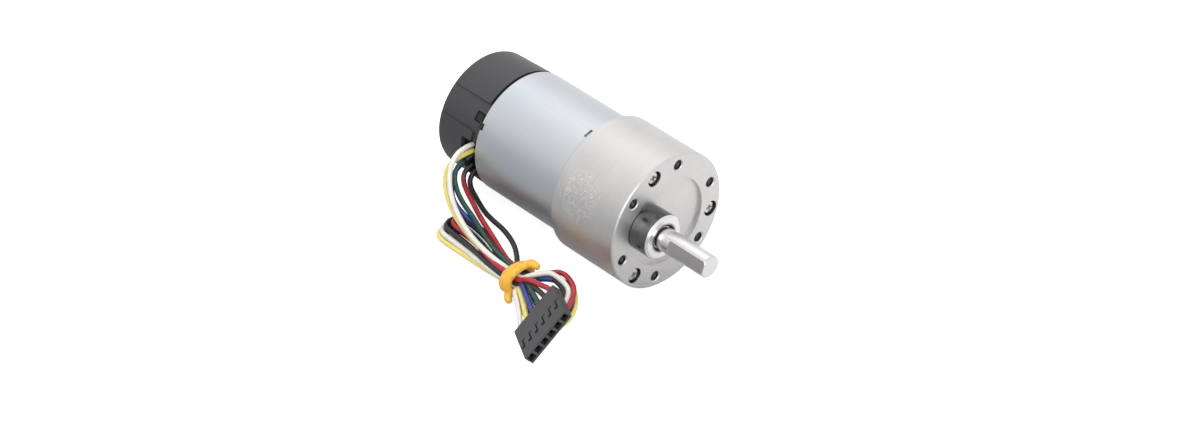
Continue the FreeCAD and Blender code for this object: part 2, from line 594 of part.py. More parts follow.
def make_armature():
    x0, x1 = ARMATURE_X
    core = rod(x0, x1, POLE_HUB_R)
    half_shoe = 180 / POLES - SHOE_GAP / 2
    for i in range(POLES):
        core = core.fuse(polar_box(x0, x1, 0, POLE_NECK_TOP_R + SHOE_ROOT, POLE_NECK, pole_polar(i)))
        core = core.fuse(sector(x0, x1, POLE_NECK_TOP_R, ARMATURE_R, pole_polar(i) - half_shoe,
                                pole_polar(i) + half_shoe))
    core = core.cut(rod(x0 - 1, x1 + 1, ARMATURE_SHAFT_R)).removeSplitter()
    save(core, "armature_core")
    coils = []
    for i in range(POLES):
        outer = polar_box(x0 - COIL_OVERHANG, x1 + COIL_OVERHANG, *COIL_R, POLE_NECK + 2 * COIL_WIDTH,
                          pole_polar(i))
        coils.append(outer.cut(polar_box(x0, x1, 0, ARMATURE_R, POLE_NECK, pole_polar(i))))
    save(group(coils), "armature_windings")
    end_x = DISC_X[0] - ARMATURE_SHAFT_PROUD
    shaft = turned([(end_x, 0), (end_x, ARMATURE_SHAFT_R - SHAFT_END_CHAMFER),
                    (end_x + SHAFT_END_CHAMFER, ARMATURE_SHAFT_R), (MOTOR_PINION_X[1], ARMATURE_SHAFT_R),
                    (MOTOR_PINION_X[1], 0)])
    save(shaft, "armature_shaft")
    sleeve_end = COMMUTATOR_X[0] - SLEEVE_PROUD
    save(ring(sleeve_end, ARMATURE_X[0], ARMATURE_SHAFT_R, COMMUTATOR_SLEEVE_R), "commutator_sleeve")
    segments = ring(*COMMUTATOR_X, COMMUTATOR_SLEEVE_R, COMMUTATOR_R)
    for i in range(POLES):
        between = pole_polar(i) + 180 / POLES
        segments = segments.cut(polar_box(*RIGHT_THROUGH, 0, 2 * COMMUTATOR_R, SEGMENT_SLOT, between))
    save(segments, "commutator_segments")
    front_end = FRONT_BUSHING_X[0] - 2 * AXIAL_GAP
    near_x = x1 + BLIND_WALL
    spans = [(near_x, near_x + THRUST_WASHER_T[0]), (front_end - THRUST_WASHER_T[1], front_end)]
    save(group([ring(*span, ARMATURE_SHAFT_R, THRUST_WASHER_R) for span in spans]), "armature_washers")


def blade_slot(shape, span, thickness, width):
    """Cuts the two slots that the motor's terminals pass through."""
    for polar in TERMINAL_POLARS:
        low, high = TERMINAL_R - thickness / 2, TERMINAL_R + thickness / 2
        shape = shape.cut(polar_box(span[0] - 1, span[1] + 1, low, high, width, polar))
    return shape


def make_brush_gear():
    x0, x1 = END_BELL_X
    bell = rod(x0, x1, CAN_R - CAN_WALL).cut(rod(x0 - 1, x1 + 1, BUSHING_R))
    save(blade_slot(bell, END_BELL_X, *TERMINAL_BLADE), "end_bell")
    holders, brushes, springs = [], [], []
    inner = (x1 + HOLDER_WALL, HOLDER_FRONT_X - HOLDER_WALL)
    bore = HOLDER_WIDTH - 2 * HOLDER_WALL
    for polar in BRUSH_POLARS:
        box = polar_box(x1, HOLDER_FRONT_X, *HOLDER_R, HOLDER_WIDTH, polar)
        holders.append(box.cut(polar_box(*inner, 0, SPRING_R[1], bore, polar)))
        brushes.append(polar_box(inner[0] + BRUSH_GAP, inner[1] - BRUSH_GAP, COMMUTATOR_R + BRUSH_LIFT,
                                 SPRING_R[0], bore - 2 * BRUSH_GAP, polar))
        springs.append(polar_box(inner[0] + SPRING_INSET, inner[1] - SPRING_INSET, *SPRING_R,
                                 bore - 2 * SPRING_INSET, polar))
    save(group(holders), "brush_holders")
    save(group(brushes), "carbon_brushes")
    save(group(springs), "brush_springs")
    thickness, width = TERMINAL_BLADE
    blades = []
    for polar in TERMINAL_POLARS:
        low, high = TERMINAL_R - thickness / 2, TERMINAL_R + thickness / 2
        blades.append(polar_box(BOARD_X[1], TERMINAL_FRONT_X, low, high, width, polar))
    save(group(blades), "motor_terminals")


# ---- encoder ----
def hook_polar():
    return sum(WINDOW_POLARS) / 2


def make_encoder():
    x0, x1 = BASE_X
    base = ring(x0, x1, BUSHING_R + BASE_BORE_GAP, BASE_R)
    base = blade_slot(base, BASE_X, *(2 * size for size in TERMINAL_BLADE))
    for polar in (hook_polar(), hook_polar() + 180):
        base = base.fuse(polar_box(HOOK_X, x1, *HOOK_ARM_R, HOOK_WIDTH, polar))
        base = base.fuse(polar_box(*HOOK_TOOTH_X, *HOOK_TOOTH_R, HOOK_WIDTH, polar))
    save(base.removeSplitter(), "encoder_base")
    x0, x1 = BOARD_X
    board = rod(x0, x1, BOARD_R).cut(rod(x0 - 1, x1 + 1, ARMATURE_SHAFT_R + BOARD_BORE_GAP))
    save(blade_slot(board, BOARD_X, *TERMINAL_BLADE), "encoder_board")
    thickness, width = TERMINAL_BLADE
    joints = []
    for polar in TERMINAL_POLARS:
        joints.append(polar_box(x0 - SOLDER_PROUD, x1, TERMINAL_R - thickness / 2, TERMINAL_R + thickness / 2,
                                width, polar))
    save(group(joints), "terminal_solder")
    sensors = [polar_box(SENSOR_REAR_X, x0, *SENSOR_R, SENSOR_WIDTH, polar) for polar in SENSOR_POLARS]
    save(group(sensors), "hall_sensors")
    chips = [polar_box(x0 - CHIP_T, x0, *CHIP_R, CHIP_WIDTH, polar) for polar in CHIP_POLARS]
    save(group(chips), "board_components")
    hub_r = ARMATURE_SHAFT_R + DISC_HUB_WALL
    save(ring(*DISC_X, hub_r, DISC_R), "encoder_magnet_disc")
    save(ring(DISC_X[0], DISC_X[1] + DISC_HUB_PROUD, ARMATURE_SHAFT_R, hub_r), "encoder_disc_hub")


def make_cap():
    front_x = CAN_REAR_X - CAP_GAP
    cap = turned([(CAP_SEAM_X, CAP_R), (CAP_SEAM_X, CAP_R - CAP_SEAM_DEPTH), (front_x, CAP_R - CAP_SEAM_DEPTH),
                  (front_x, CAP_R - CAP_WALL), (CAP_REAR_X + CAP_WALL, CAP_REAR_R - CAP_WALL),
                  (CAP_REAR_X + CAP_WALL, 0), (CAP_REAR_X, 0), (CAP_REAR_X, CAP_REAR_R - CAP_ROUND),
                  (CAP_REAR_X + 0.3 * CAP_ROUND, CAP_REAR_R - 0.3 * CAP_ROUND),
                  (CAP_REAR_X + CAP_ROUND, CAP_REAR_R)])
    low = CAP_R - PANEL_DEPTH
    for side in (0, 180):
        cap = cap.cut(sector(CAP_REAR_X - 1, CAN_REAR_X + 1, low, CAP_R + 1, PANEL_POLARS[0] + side,
                             PANEL_POLARS[1] + side))
        cap = cap.cut(sector(BAND_X, CAN_REAR_X + 1, low, CAP_R + 1, PANEL_POLARS[1] + side - 1,
                             LEAD_WINDOW_POLARS[0] + side + 2))
        cap = cap.cut(sector(*WINDOW_X, CAP_R - 2 * CAP_WALL, CAP_R + 1, WINDOW_POLARS[0] + side,
                             WINDOW_POLARS[1] + side))
        tab = polar_box(CAN_REAR_X - TAB_ROOT, CAN_REAR_X + TAB_LENGTH, CAN_R - CAN_WALL + CAP_GAP, TAB_R + 1,
                        TAB_WIDTH, TAB_POLAR + side)
        cap = cap.fuse(tab.common(rod(*RIGHT_THROUGH, TAB_R)))
    cap = cap.cut(sector(LEAD_WINDOW_X, CAN_REAR_X + 1, CAP_R - 2 * CAP_WALL, CAP_R + 1, *LEAD_WINDOW_POLARS))
    save(cap.removeSplitter(), "encoder_cap")


# ---- leads ----
def rounded_path(points):
    """A wire of straight runs joined by tangent arcs, and the arcs' radii."""
    edges, radii = [], []
    start = points[0]
    for i in range(1, len(points) - 1):
        before = points[i] - points[i - 1]
        after = points[i + 1] - points[i]
        turn = before.getAngle(after)
        radius = 0.45 * min(before.Length, after.Length) / math.tan(turn / 2)
        trim = radius * math.tan(turn / 2)
        a = points[i] - before.normalize() * trim
        b = points[i] + after.normalize() * trim
        inward = (after - before).normalize()
        middle = points[i] + inward * (radius / math.cos(turn / 2) - radius)
        edges.append(Part.LineSegment(start, a).toShape())
        edges.append(Part.Arc(a, middle, b).toShape())
        radii.append(radius)
        start = b
    edges.append(Part.LineSegment(start, points[-1]).toShape())
    return Part.Wire(edges), radii


def tube(points, diameter, name):
    """A round tube along a rounded path, with its volume compared with section times length."""
    path, radii = rounded_path(points)
    first = path.Edges[0]
    circle = Part.Circle(first.Vertexes[0].Point, first.tangentAt(first.FirstParameter), diameter / 2)
    solid = path.makePipeShell([Part.Wire([circle.toShape()])], True, False)
    ratio = solid.Volume / (math.pi * diameter ** 2 / 4 * path.Length)
    print(f"{name}: length {path.Length:.1f}, radii {[round(r, 1) for r in radii]}, volume ratio {ratio:.4f}")
    return solid


def connector_frame():
    """The connector's three directions: along its row, out of its wide face, and towards its mating end."""
    row = vec(*CONNECTOR_LONG).normalize()
    insert = vec(*CONNECTOR_INSERT)
    insert = (insert - row * insert.dot(row)).normalize()
    return row, insert.cross(row), insert


def in_connector(shape):
    """Moves a shape from the connector's own frame into place: X row, Y out of the wide face, Z insertion."""
    row, out, insert = connector_frame()
    corner = vec(*CONNECTOR_CORNER)
    shape.transformShape(FreeCAD.Matrix(row.x, out.x, insert.x, corner.x, row.y, out.y, insert.y, corner.y,
                                        row.z, out.z, insert.z, corner.z, 0, 0, 0, 1))
    return shape


def upright(x, y, size, z0, z1):
    """A block that stands round the point (x, y)."""
    return Part.makeBox(size[0], size[1], z1 - z0, vec(x - size[0] / 2, y - size[1] / 2, z0))


def make_connector():
    ways = len(LEADS)
    width = CONNECTOR_PITCH * ways
    housing = Part.makeBox(width, CONNECTOR_T, CONNECTOR_DEPTH)
    middle_y = CONNECTOR_T / 2
    terminals = []
    for i in range(ways):
        middle = CONNECTOR_PITCH * (i + 0.5)
        housing = housing.cut(upright(middle, middle_y, CAVITY, -1, CONNECTOR_DEPTH + 1))
        for left, right, low, high in LATCH_GAPS:
            housing = housing.cut(Part.makeBox(right - left, CONNECTOR_T, high - low, vec(middle + left, middle_y, low)))
        body = upright(middle, middle_y, TERMINAL_SIZE, TERMINAL_START, TERMINAL_END)
        socket = upright(middle, middle_y, SOCKET_SIZE, TERMINAL_END - SOCKET_DEPTH, CONNECTOR_DEPTH)
        terminals.append(body.cut(socket))
    save(in_connector(housing), "connector_housing")
    save(in_connector(group(terminals)), "crimp_terminals")


def tail_route(i):
    """The last stretch of a lead, from the hank's waist, where the leads lie two deep, to its terminal."""
    row, out, insert = connector_frame()
    socket = vec(*CONNECTOR_CORNER) + row * (CONNECTOR_PITCH * (i + 0.5)) + out * (CONNECTOR_T / 2)
    start = vec(*TAIL_START) + vec(0, TAIL_PITCH * (i // 2), TAIL_PITCH * (i % 2))
    away = start + vec(*TAIL_FIRST_RUN)
    entry = socket - insert * TAIL_LAST_RUN
    middle = (away + entry) * 0.5 + vec(*TAIL_BOW)
    return [start, away, middle, entry, socket + insert * TERMINAL_START]


def make_leads():
    for name in LEADS:
        save(tube([vec(*p) for p in LEAD_ROUTES[name]], LEAD_D, name), "lead_" + name)
    for i, name in enumerate(TAIL_ORDER):
        save(tube(tail_route(i), LEAD_D, name + " tail"), "lead_" + name + "_tail")


def loop_solid(outline, top):
    """A flat closed solid with a smooth outline, from the floor up."""
    curve = Part.BSplineCurve()
    curve.interpolate([vec(x, y, FLOOR_Z) for x, y in outline], PeriodicFlag=True)
    return Part.Face(Part.Wire([curve.toShape()])).extrude(vec(0, 0, top - FLOOR_Z))


def tie_ellipse(reach, x):
    """An upright ellipse round the hank's waist, wider than it is high."""
    wire = Part.Wire([Part.Ellipse(vec(0, 0, 0), *reach).toShape()])
    wire.rotate(vec(0, 0, 0), vec(0, 0, 1), 90)
    wire.rotate(vec(0, 0, 0), vec(0, 1, 0), 90)
    wire.translate(vec(x, TIE_CENTRE[1], TIE_CENTRE[2]))
    return wire


def make_tie():
    turns = []
    for offset in TIE_TURNS:
        path = tie_ellipse(TIE_REACH, TIE_CENTRE[0] + offset)
        start = path.Vertexes[0].Point
        circle = Part.Circle(start, vec(0, 0, 1), TIE_WIRE_D / 2)
        turns.append(path.makePipeShell([Part.Wire([circle.toShape()])], True, False))
    save(group(turns), "wire_tie")


def make_hank():
    reach = [r - TIE_WIRE_D / 2 - WAIST_GAP for r in TIE_REACH]
    waist = tie_ellipse(reach, WAIST_X[0])
    waist = Part.Face(waist).extrude(vec(WAIST_X[1] - WAIST_X[0], 0, 0))
    hank = waist.fuse(loop_solid(REAR_LOOP, REAR_LOOP_TOP))
    hank = hank.fuse(loop_solid(FRONT_LOOP, FRONT_LOOP_TOP))
    hank = hank.fuse(loop_solid(FRONT_RISE, FRONT_RISE_TOP))
    size = HANK_CUT
    beside_connector = Part.makeBox(size, size, size, vec(HANK_CUT_START, -HANK_CLEARANCE, -HANK_CLEARANCE))
    hank = hank.cut(in_connector(beside_connector))
    save(hank, "lead_hank")


os.makedirs("parts", exist_ok=True)
make_front_plate()
make_gearbox_housing()
make_rear_plate()
make_screws()
make_output()
make_gears()
make_can()
make_armature()
make_brush_gear()
make_encoder()
make_cap()
make_leads()
make_hank()
make_tie()
make_connector()
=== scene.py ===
"""Looks of the gearmotor: metals, plastics, six leads in a tied hank, the twist tie, the threads of
the face's holes, floor, light and camera.

Metres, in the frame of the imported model: +X towards the output shaft, +Z up, origin in the centre
of the gearbox's front face. A polar angle is measured round the motor axis, from +Y towards +Z.
"""

import json
import math

import bmesh
import bpy
from mathutils import Matrix, Vector, noise


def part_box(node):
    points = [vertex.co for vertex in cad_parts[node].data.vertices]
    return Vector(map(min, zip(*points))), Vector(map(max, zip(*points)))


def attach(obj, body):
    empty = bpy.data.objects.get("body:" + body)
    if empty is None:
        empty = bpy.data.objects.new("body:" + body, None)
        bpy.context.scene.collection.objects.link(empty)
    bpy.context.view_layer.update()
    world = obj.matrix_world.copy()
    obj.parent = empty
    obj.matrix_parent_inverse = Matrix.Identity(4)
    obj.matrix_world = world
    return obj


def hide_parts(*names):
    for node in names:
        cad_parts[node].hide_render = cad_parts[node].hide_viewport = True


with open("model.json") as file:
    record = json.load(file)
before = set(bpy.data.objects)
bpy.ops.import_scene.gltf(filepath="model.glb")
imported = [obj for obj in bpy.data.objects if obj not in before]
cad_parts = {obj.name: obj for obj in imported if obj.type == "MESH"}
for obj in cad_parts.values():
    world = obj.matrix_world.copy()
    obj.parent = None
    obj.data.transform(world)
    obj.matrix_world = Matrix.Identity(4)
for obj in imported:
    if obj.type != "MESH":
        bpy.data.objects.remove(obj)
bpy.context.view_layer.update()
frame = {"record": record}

BODY = "motor_body"
FLOOR_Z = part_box("gearbox_housing")[0].z
LEAD_D = 0.00135

# ---- camera ----
VIEW_AZIMUTH = 47.48
VIEW_ELEVATION = 37.609
VIEW_ROLL = -1.095
VIEW_DISTANCE = 0.888
VIEW_OFFSET = (0.017198, -0.000311)
LENS = 109.48
CLIP_START = 0.01


def make_camera():
    """The view's middle lies left of and below the origin by VIEW_OFFSET."""
    azimuth, elevation, roll = (math.radians(a) for a in (VIEW_AZIMUTH, VIEW_ELEVATION, VIEW_ROLL))
    back = Vector((math.sin(azimuth) * math.cos(elevation),
                   -math.cos(azimuth) * math.cos(elevation),
                   math.sin(elevation)))
    level = Vector((math.cos(azimuth), math.sin(azimuth), 0))
    upright = back.cross(level)
    right = level * math.cos(roll) + upright * math.sin(roll)
    up = upright * math.cos(roll) - level * math.sin(roll)
    camera = bpy.data.objects.new("camera", bpy.data.cameras.new("camera"))
    bpy.context.scene.collection.objects.link(camera)
    place = back * VIEW_DISTANCE - right * VIEW_OFFSET[0] - up * VIEW_OFFSET[1]
    camera.matrix_world = Matrix((
        (right.x, up.x, back.x, place.x),
        (right.y, up.y, back.y, place.y),
        (right.z, up.z, back.z, place.z),
        (0, 0, 0, 1)))
    camera.data.lens = LENS
    camera.data.clip_start = CLIP_START
    bpy.context.scene.camera = camera


# ---- leads: one spline each, from the encoder, through the tie three times, to the connector ----
# the free stretch of each lead, from the cap's lead window to the tie
LEAD_ROUTES = {
    "white": [(-0.0550, -0.0144, 0.0020), (-0.0553, -0.0179, 0.0020), (-0.0549, -0.0209, 0.0011),
              (-0.0540, -0.0232, -0.0008), (-0.0527, -0.0248, -0.0036), (-0.0507, -0.0259, -0.0066),
              (-0.0476, -0.0269, -0.0094), (-0.0414, -0.0286, -0.0114),
              (-0.0330, -0.0299, -0.0123)],
    "yellow": [(-0.0548, -0.0145, 0.0002), (-0.0554, -0.0178, 0.0), (-0.0559, -0.0208, -0.0007),
               (-0.0557, -0.0230, -0.0023), (-0.0544, -0.0248, -0.0050),
               (-0.0522, -0.0259, -0.0080), (-0.0486, -0.0267, -0.0110),
               (-0.0430, -0.0275, -0.0131), (-0.0365, -0.0286, -0.0139),
               (-0.0300, -0.0304, -0.0141)],
    "blue": [(-0.0552, -0.0144, -0.0015), (-0.0560, -0.0174, -0.0028), (-0.0563, -0.0196, -0.0046),
             (-0.0559, -0.0212, -0.0060), (-0.0546, -0.0226, -0.0074), (-0.0524, -0.0240, -0.0092),
             (-0.0500, -0.0243, -0.0106), (-0.0472, -0.0237, -0.0126), (-0.0436, -0.0226, -0.0142),
             (-0.0384, -0.0237, -0.0149), (-0.0316, -0.0277, -0.0146)],
    "green": [(-0.0562, -0.0143, -0.0033), (-0.0556, -0.0166, -0.0022), (-0.0558, -0.0188, -0.0027),
              (-0.0556, -0.0206, -0.0047), (-0.0538, -0.0218, -0.0074), (-0.0506, -0.0224, -0.0101),
              (-0.0460, -0.0231, -0.0116), (-0.0405, -0.0250, -0.0123),
              (-0.0324, -0.0277, -0.0124)],
    "red": [(-0.0562, -0.0139, -0.0052), (-0.0566, -0.0161, -0.0062), (-0.0560, -0.0175, -0.0082),
            (-0.0538, -0.0184, -0.0099), (-0.0506, -0.0193, -0.0112), (-0.0459, -0.0210, -0.0125),
            (-0.0386, -0.0234, -0.0133), (-0.0315, -0.0260, -0.0138)],
    "black": [(-0.0558, -0.0132, -0.0070), (-0.0559, -0.0152, -0.0084), (-0.0546, -0.0164, -0.0104),
              (-0.0509, -0.0173, -0.0120), (-0.0466, -0.0189, -0.0124), (-0.0422, -0.0199, -0.0123),
              (-0.0374, -0.0205, -0.0122), (-0.0317, -0.0224, -0.0122),
              (-0.0276, -0.0249, -0.0124)],
}
TIE_CENTRE = Vector((-0.0222, -0.0295, -0.0141))
TIE_HALF = 0.0022
# strands lie in rows inside the tie: places are (column from the front, row from the bottom)
SLOT_PITCH = (0.00112, 0.0010)
# per lead: its place in the tie on the way out, on the way back and to the connector
SLOTS = {
    "white": ((-0.5, 1.5), (0.5, -1.5), (-2.0, -0.5)),
    "yellow": ((-1.0, 0.5), (1.5, -1.5), (-1.5, -1.5)),
    "green": ((0.5, 1.5), (0.0, -0.5), (-0.5, -1.5)),
    "blue": ((0.0, 0.5), (1.0, -0.5), (-1.0, -0.5)),
    "red": ((1.0, 0.5), (2.0, 0.5), (-1.5, 1.5)),
    "black": ((1.5, 1.5), (2.0, -0.5), (-2.0, 0.5)),
}
# the shared line of the front loop: it leaves the tie, turns beside the gearbox and comes back low
FRONT_LOOP = [(-0.0168, -0.0266, -0.0126), (-0.0140, -0.0246, -0.0124), (-0.0106, -0.0240, -0.0128),
              (-0.0078, -0.0250, -0.0138), (-0.0058, -0.0276, -0.0153), (-0.0052, -0.0306, -0.0167),
              (-0.0066, -0.0332, -0.0174), (-0.0096, -0.0341, -0.0176), (-0.0132, -0.0334, -0.0175),
              (-0.0164, -0.0320, -0.0169)]
# the first points of the leads that leave the tie on their own way
FRONT_STARTS = {
    "white": [(-0.0185, -0.0289, -0.0115), (-0.0168, -0.0268, -0.0110),
              (-0.0152, -0.0245, -0.0110)],
    "red": [(-0.0186, -0.0262, -0.0131), (-0.0170, -0.0238, -0.0126), (-0.0142, -0.0217, -0.0118)],
    "black": [(-0.0184, -0.0281, -0.0125), (-0.0166, -0.0262, -0.0123),
              (-0.0145, -0.0247, -0.0124)],
}
FRONT_MIDDLE = Vector((-0.0112, -0.0292, -0.0150))
# per lead: how far outward of that line its own loop runs at its start and end, and how far above
FRONT_PLACES = {
    "white": ((-0.0006, -0.0002), (0.0032, 0.0020)),
    "yellow": ((0.0004, 0.0030), (0.0, 0.0)),
    "green": ((0.0002, 0.0019), (0.0004, 0.0)),
    "blue": ((-0.0004, -0.0002), (0.0, 0.0)),
    "red": ((0.0010, 0.0010), (0.0034, 0.0022)),
    "black": ((-0.0016, -0.0016), (0.0022, 0.0010)),
}
# per lead: the rear loop's end (x), its front and back leg (y), and its height (z)
REAR_LOOPS = {
    "yellow": (-0.0538, -0.0298, -0.0232, -0.0178),
    "blue": (-0.0522, -0.0282, -0.0241, -0.0178),
    "white": (-0.0533, -0.0290, -0.0230, -0.0165),
    "green": (-0.0520, -0.0273, -0.0235, -0.0164),
    "black": (-0.0526, -0.0279, -0.0223, -0.0152),
    "red": (-0.0512, -0.0264, -0.0221, -0.0144),
}
REAR_LEG_X = (-0.0272, -0.0326, -0.0385, -0.0440)
# how early a leg spreads out sideways and sinks, as powers of its eased way
REAR_SPREAD = 0.7
REAR_SINK = 0.5
REAR_BEND_POINTS = 4
# the order of the leads along the connector
TAIL_ORDER = ("white", "yellow", "blue", "green", "black", "red")
# per lead: two points on its way from the tie to the connector
TAIL_RUNS = {
    "white": [(-0.0194, -0.0334, -0.0146), (-0.0165, -0.0348, -0.0156)],
    "yellow": [(-0.0190, -0.0323, -0.0135), (-0.0160, -0.0338, -0.0142)],
    "blue": [(-0.0184, -0.0318, -0.0123), (-0.0145, -0.0339, -0.0126)],
    "green": [(-0.0181, -0.0304, -0.0125), (-0.0141, -0.0325, -0.0116)],
    "black": [(-0.0176, -0.0308, -0.0124), (-0.0135, -0.0314, -0.0112)],
    "red": [(-0.0172, -0.0306, -0.0110), (-0.0130, -0.0308, -0.0100)],
}
# a lead runs straight over this length behind the connector, and ends this deep inside it
TAIL_LAST_RUN = 0.0006
TERMINAL_START = 0.0036
CONNECTOR_CORNER = Vector((-0.0088, -0.0406, -0.0184))
CONNECTOR_LONG = Vector((0.228, 0.647, 0.727))
CONNECTOR_INSERT = Vector((0.842, -0.506, 0.186))
CONNECTOR_PITCH = 0.00254
CONNECTOR_T = 0.0025
# how finely a tube is meshed along its line and round it
TUBE_STEPS = 8
TUBE_ROUNDNESS = 5


def connector_frame():
    """The connector's directions: along its row, out of its wide face, to its mating end."""
    row = CONNECTOR_LONG.normalized()
    insert = CONNECTOR_INSERT - row * CONNECTOR_INSERT.dot(row)
    insert.normalize()
    return row, insert.cross(row), insert


def slot_point(place, x):
    """A place in the tie, at x."""
    column, row = place
    return Vector((x, TIE_CENTRE.y + column * SLOT_PITCH[0], TIE_CENTRE.z + row * SLOT_PITCH[1]))


def through_tie(place, direction):
    """Three points through the tie, towards +X or -X."""
    return [slot_point(place, TIE_CENTRE.x + direction * step * TIE_HALF) for step in (-1, 0, 1)]


def front_loop(name):
    """The shared line, moved outward and up for this lead, least near the tie."""
    outward_ends, lift_ends = FRONT_PLACES[name]
    points = []
    for i, place in enumerate(FRONT_LOOP):
        middle = Vector(place)
        away = (middle - FRONT_MIDDLE) * Vector((1, 1, 0))
        share = math.sqrt(math.sin(math.pi * (i + 1) / (len(FRONT_LOOP) + 1)))
        along = i / (len(FRONT_LOOP) - 1)
        outward = outward_ends[0] + (outward_ends[1] - outward_ends[0]) * along
        lift = lift_ends[0] + (lift_ends[1] - lift_ends[0]) * along
        points.append(middle + away.normalized() * outward * share + Vector((0, 0, lift * share)))
    own = [Vector(p) for p in FRONT_STARTS.get(name, [])]
    return own + points[len(own):]


def rear_loop(name):
    """Out along the back leg, round the end and in along the front leg."""
    end_x, front_y, back_y, z = REAR_LOOPS[name]
    _, back_slot, front_slot = SLOTS[name]
    radius = (back_y - front_y) / 2
    centre = Vector((end_x + radius, (front_y + back_y) / 2, z))
    reach = radius / math.cos(math.pi / (2 * REAR_BEND_POINTS))
    bend = []
    for i in range(REAR_BEND_POINTS):
        angle = math.pi * (0.5 + (i + 0.5) / REAR_BEND_POINTS)
        bend.append(centre + Vector((reach * math.cos(angle), reach * math.sin(angle), 0)))
    legs = []
    for slot, y in ((back_slot, back_y), (front_slot, front_y)):
        start = slot_point(slot, REAR_LEG_X[0])
        leg = []
        for x in REAR_LEG_X:
            share = (x - REAR_LEG_X[0]) / (centre.x - REAR_LEG_X[0])
            ease = share * share * (3 - 2 * share)
            leg.append(Vector((x, start.y + (y - start.y) * ease ** REAR_SPREAD,
                               start.z + (z - start.z) * ease ** REAR_SINK)))
        legs.append(leg)
    return legs[0] + bend + legs[1][::-1]


def tail(name):
    """From the tie to the back of the connector and into it."""
    i = TAIL_ORDER.index(name)
    row, out, insert = connector_frame()
    socket = CONNECTOR_CORNER + row * (CONNECTOR_PITCH * (i + 0.5)) + out * (CONNECTOR_T / 2)
    entry = socket - insert * TAIL_LAST_RUN
    return [Vector(p) for p in TAIL_RUNS[name]] + [entry, socket + insert * TERMINAL_START]


def lead_points(name):
    """All control points of one lead, from the cap to the connector."""
    out_slot, back_slot, front_slot = SLOTS[name]
    points = [Vector(p) for p in LEAD_ROUTES[name]]
    points += through_tie(out_slot, 1) + front_loop(name)
    points += through_tie(back_slot, -1) + rear_loop(name)
    return points + through_tie(front_slot, 1) + tail(name)


def spline_object(name, points, diameter):
    """A curve object, round and smooth, that follows its control points."""
    curve = bpy.data.curves.new(name, "CURVE")
    curve.dimensions = "3D"
    spline = curve.splines.new("NURBS")
    spline.points.add(len(points) - 1)
    for knot, point in zip(spline.points, points):
        knot.co = (*point, 1)
    spline.order_u = 3
    spline.use_endpoint_u = True
    curve.resolution_u = TUBE_STEPS
    curve.bevel_depth = diameter / 2
    curve.bevel_resolution = TUBE_ROUNDNESS
    curve.use_fill_caps = True
    piece = bpy.data.objects.new(name, curve)
    bpy.context.scene.collection.objects.link(piece)
    return piece


def mesh_of(curve):
    """A mesh of a curve's data as it stands."""
    holder = bpy.data.objects.new("holder", curve)
    mesh = bpy.data.meshes.new_from_object(holder)
    bpy.data.objects.remove(holder)
    return mesh


def curve_points(piece):
    """The points of a curve's own smooth line."""
    bare = piece.data.copy()
    bare.bevel_depth = 0
    mesh = mesh_of(bare)
    points = [v.co.copy() for v in mesh.vertices]
    bpy.data.meshes.remove(mesh)
    bpy.data.curves.remove(bare)
    return points


def tube(name, points, diameter, rounded=False):
    """A round mesh tube along a smooth spline, and its centre line. Its ends can be drawn in."""
    guide = spline_object("guide", points, diameter)
    if rounded:
        knots = guide.data.splines[0].points
        for near, share in enumerate(END_SHARES):
            knots[near].radius = knots[-1 - near].radius = share
    path = curve_points(guide)
    mesh = mesh_of(guide.data)
    bpy.data.objects.remove(guide)
    mesh.name = name
    for face in mesh.polygons:
        face.use_smooth = True
    piece = bpy.data.objects.new(name, mesh)
    bpy.context.scene.collection.objects.link(piece)
    return piece, path


# ---- twist tie: a soft cord wound round the waist of the hank, with two loose ends ----
# how thick the cord is at its last two points, as a share of its diameter
END_SHARES = (0.25, 0.85)
TIE_D = 0.0021
TIE_LOWER_END = [(-0.0195, -0.0347, -0.0175), (-0.0198, -0.0347, -0.0173),
                 (-0.0207, -0.0345, -0.0165)]
TIE_UPPER_END = [(-0.0210, -0.0270, -0.0100), (-0.0198, -0.0262, -0.0102),
                 (-0.0189, -0.0257, -0.0109), (-0.0186, -0.0255, -0.0111)]
# the windings' half width and half height at the middle of the cord
TIE_REACH = (0.0043, 0.0034)
# the last points of TIE_TURNS, from this one on, climb over the others, by this much in so many
TIE_CLIMB_FROM = 17
TIE_CLIMB_POINTS = 4
TIE_OVER = 0.0005
# the middle of the cord stays this share of its diameter above the floor, its surface this far
TIE_FLOOR_SHARE = 0.55
TIE_FLOOR_GAP = 0.00001
# the cord's unevenness: scale of the noise and its height
TIE_UNEVEN = ((900.0, 0.00012), (2600.0, 0.00006))
# along the windings: polar angle round the waist and distance from its middle
TIE_TURNS = [(205, 0.0008), (170, 0.0003), (130, -0.0001), (90, -0.0004), (50, -0.0006),
             (10, -0.0009), (-30, -0.0011), (-70, -0.0012), (-110, -0.0012), (-150, -0.0012),
             (-190, -0.0011), (-230, -0.0010), (-270, -0.0007), (-310, -0.0004), (-350, 0.0),
             (-390, 0.0004), (-430, 0.0008), (-470, 0.0010), (-510, 0.0010), (-545, 0.0008),
             (-580, 0.0006), (-615, 0.0007)]


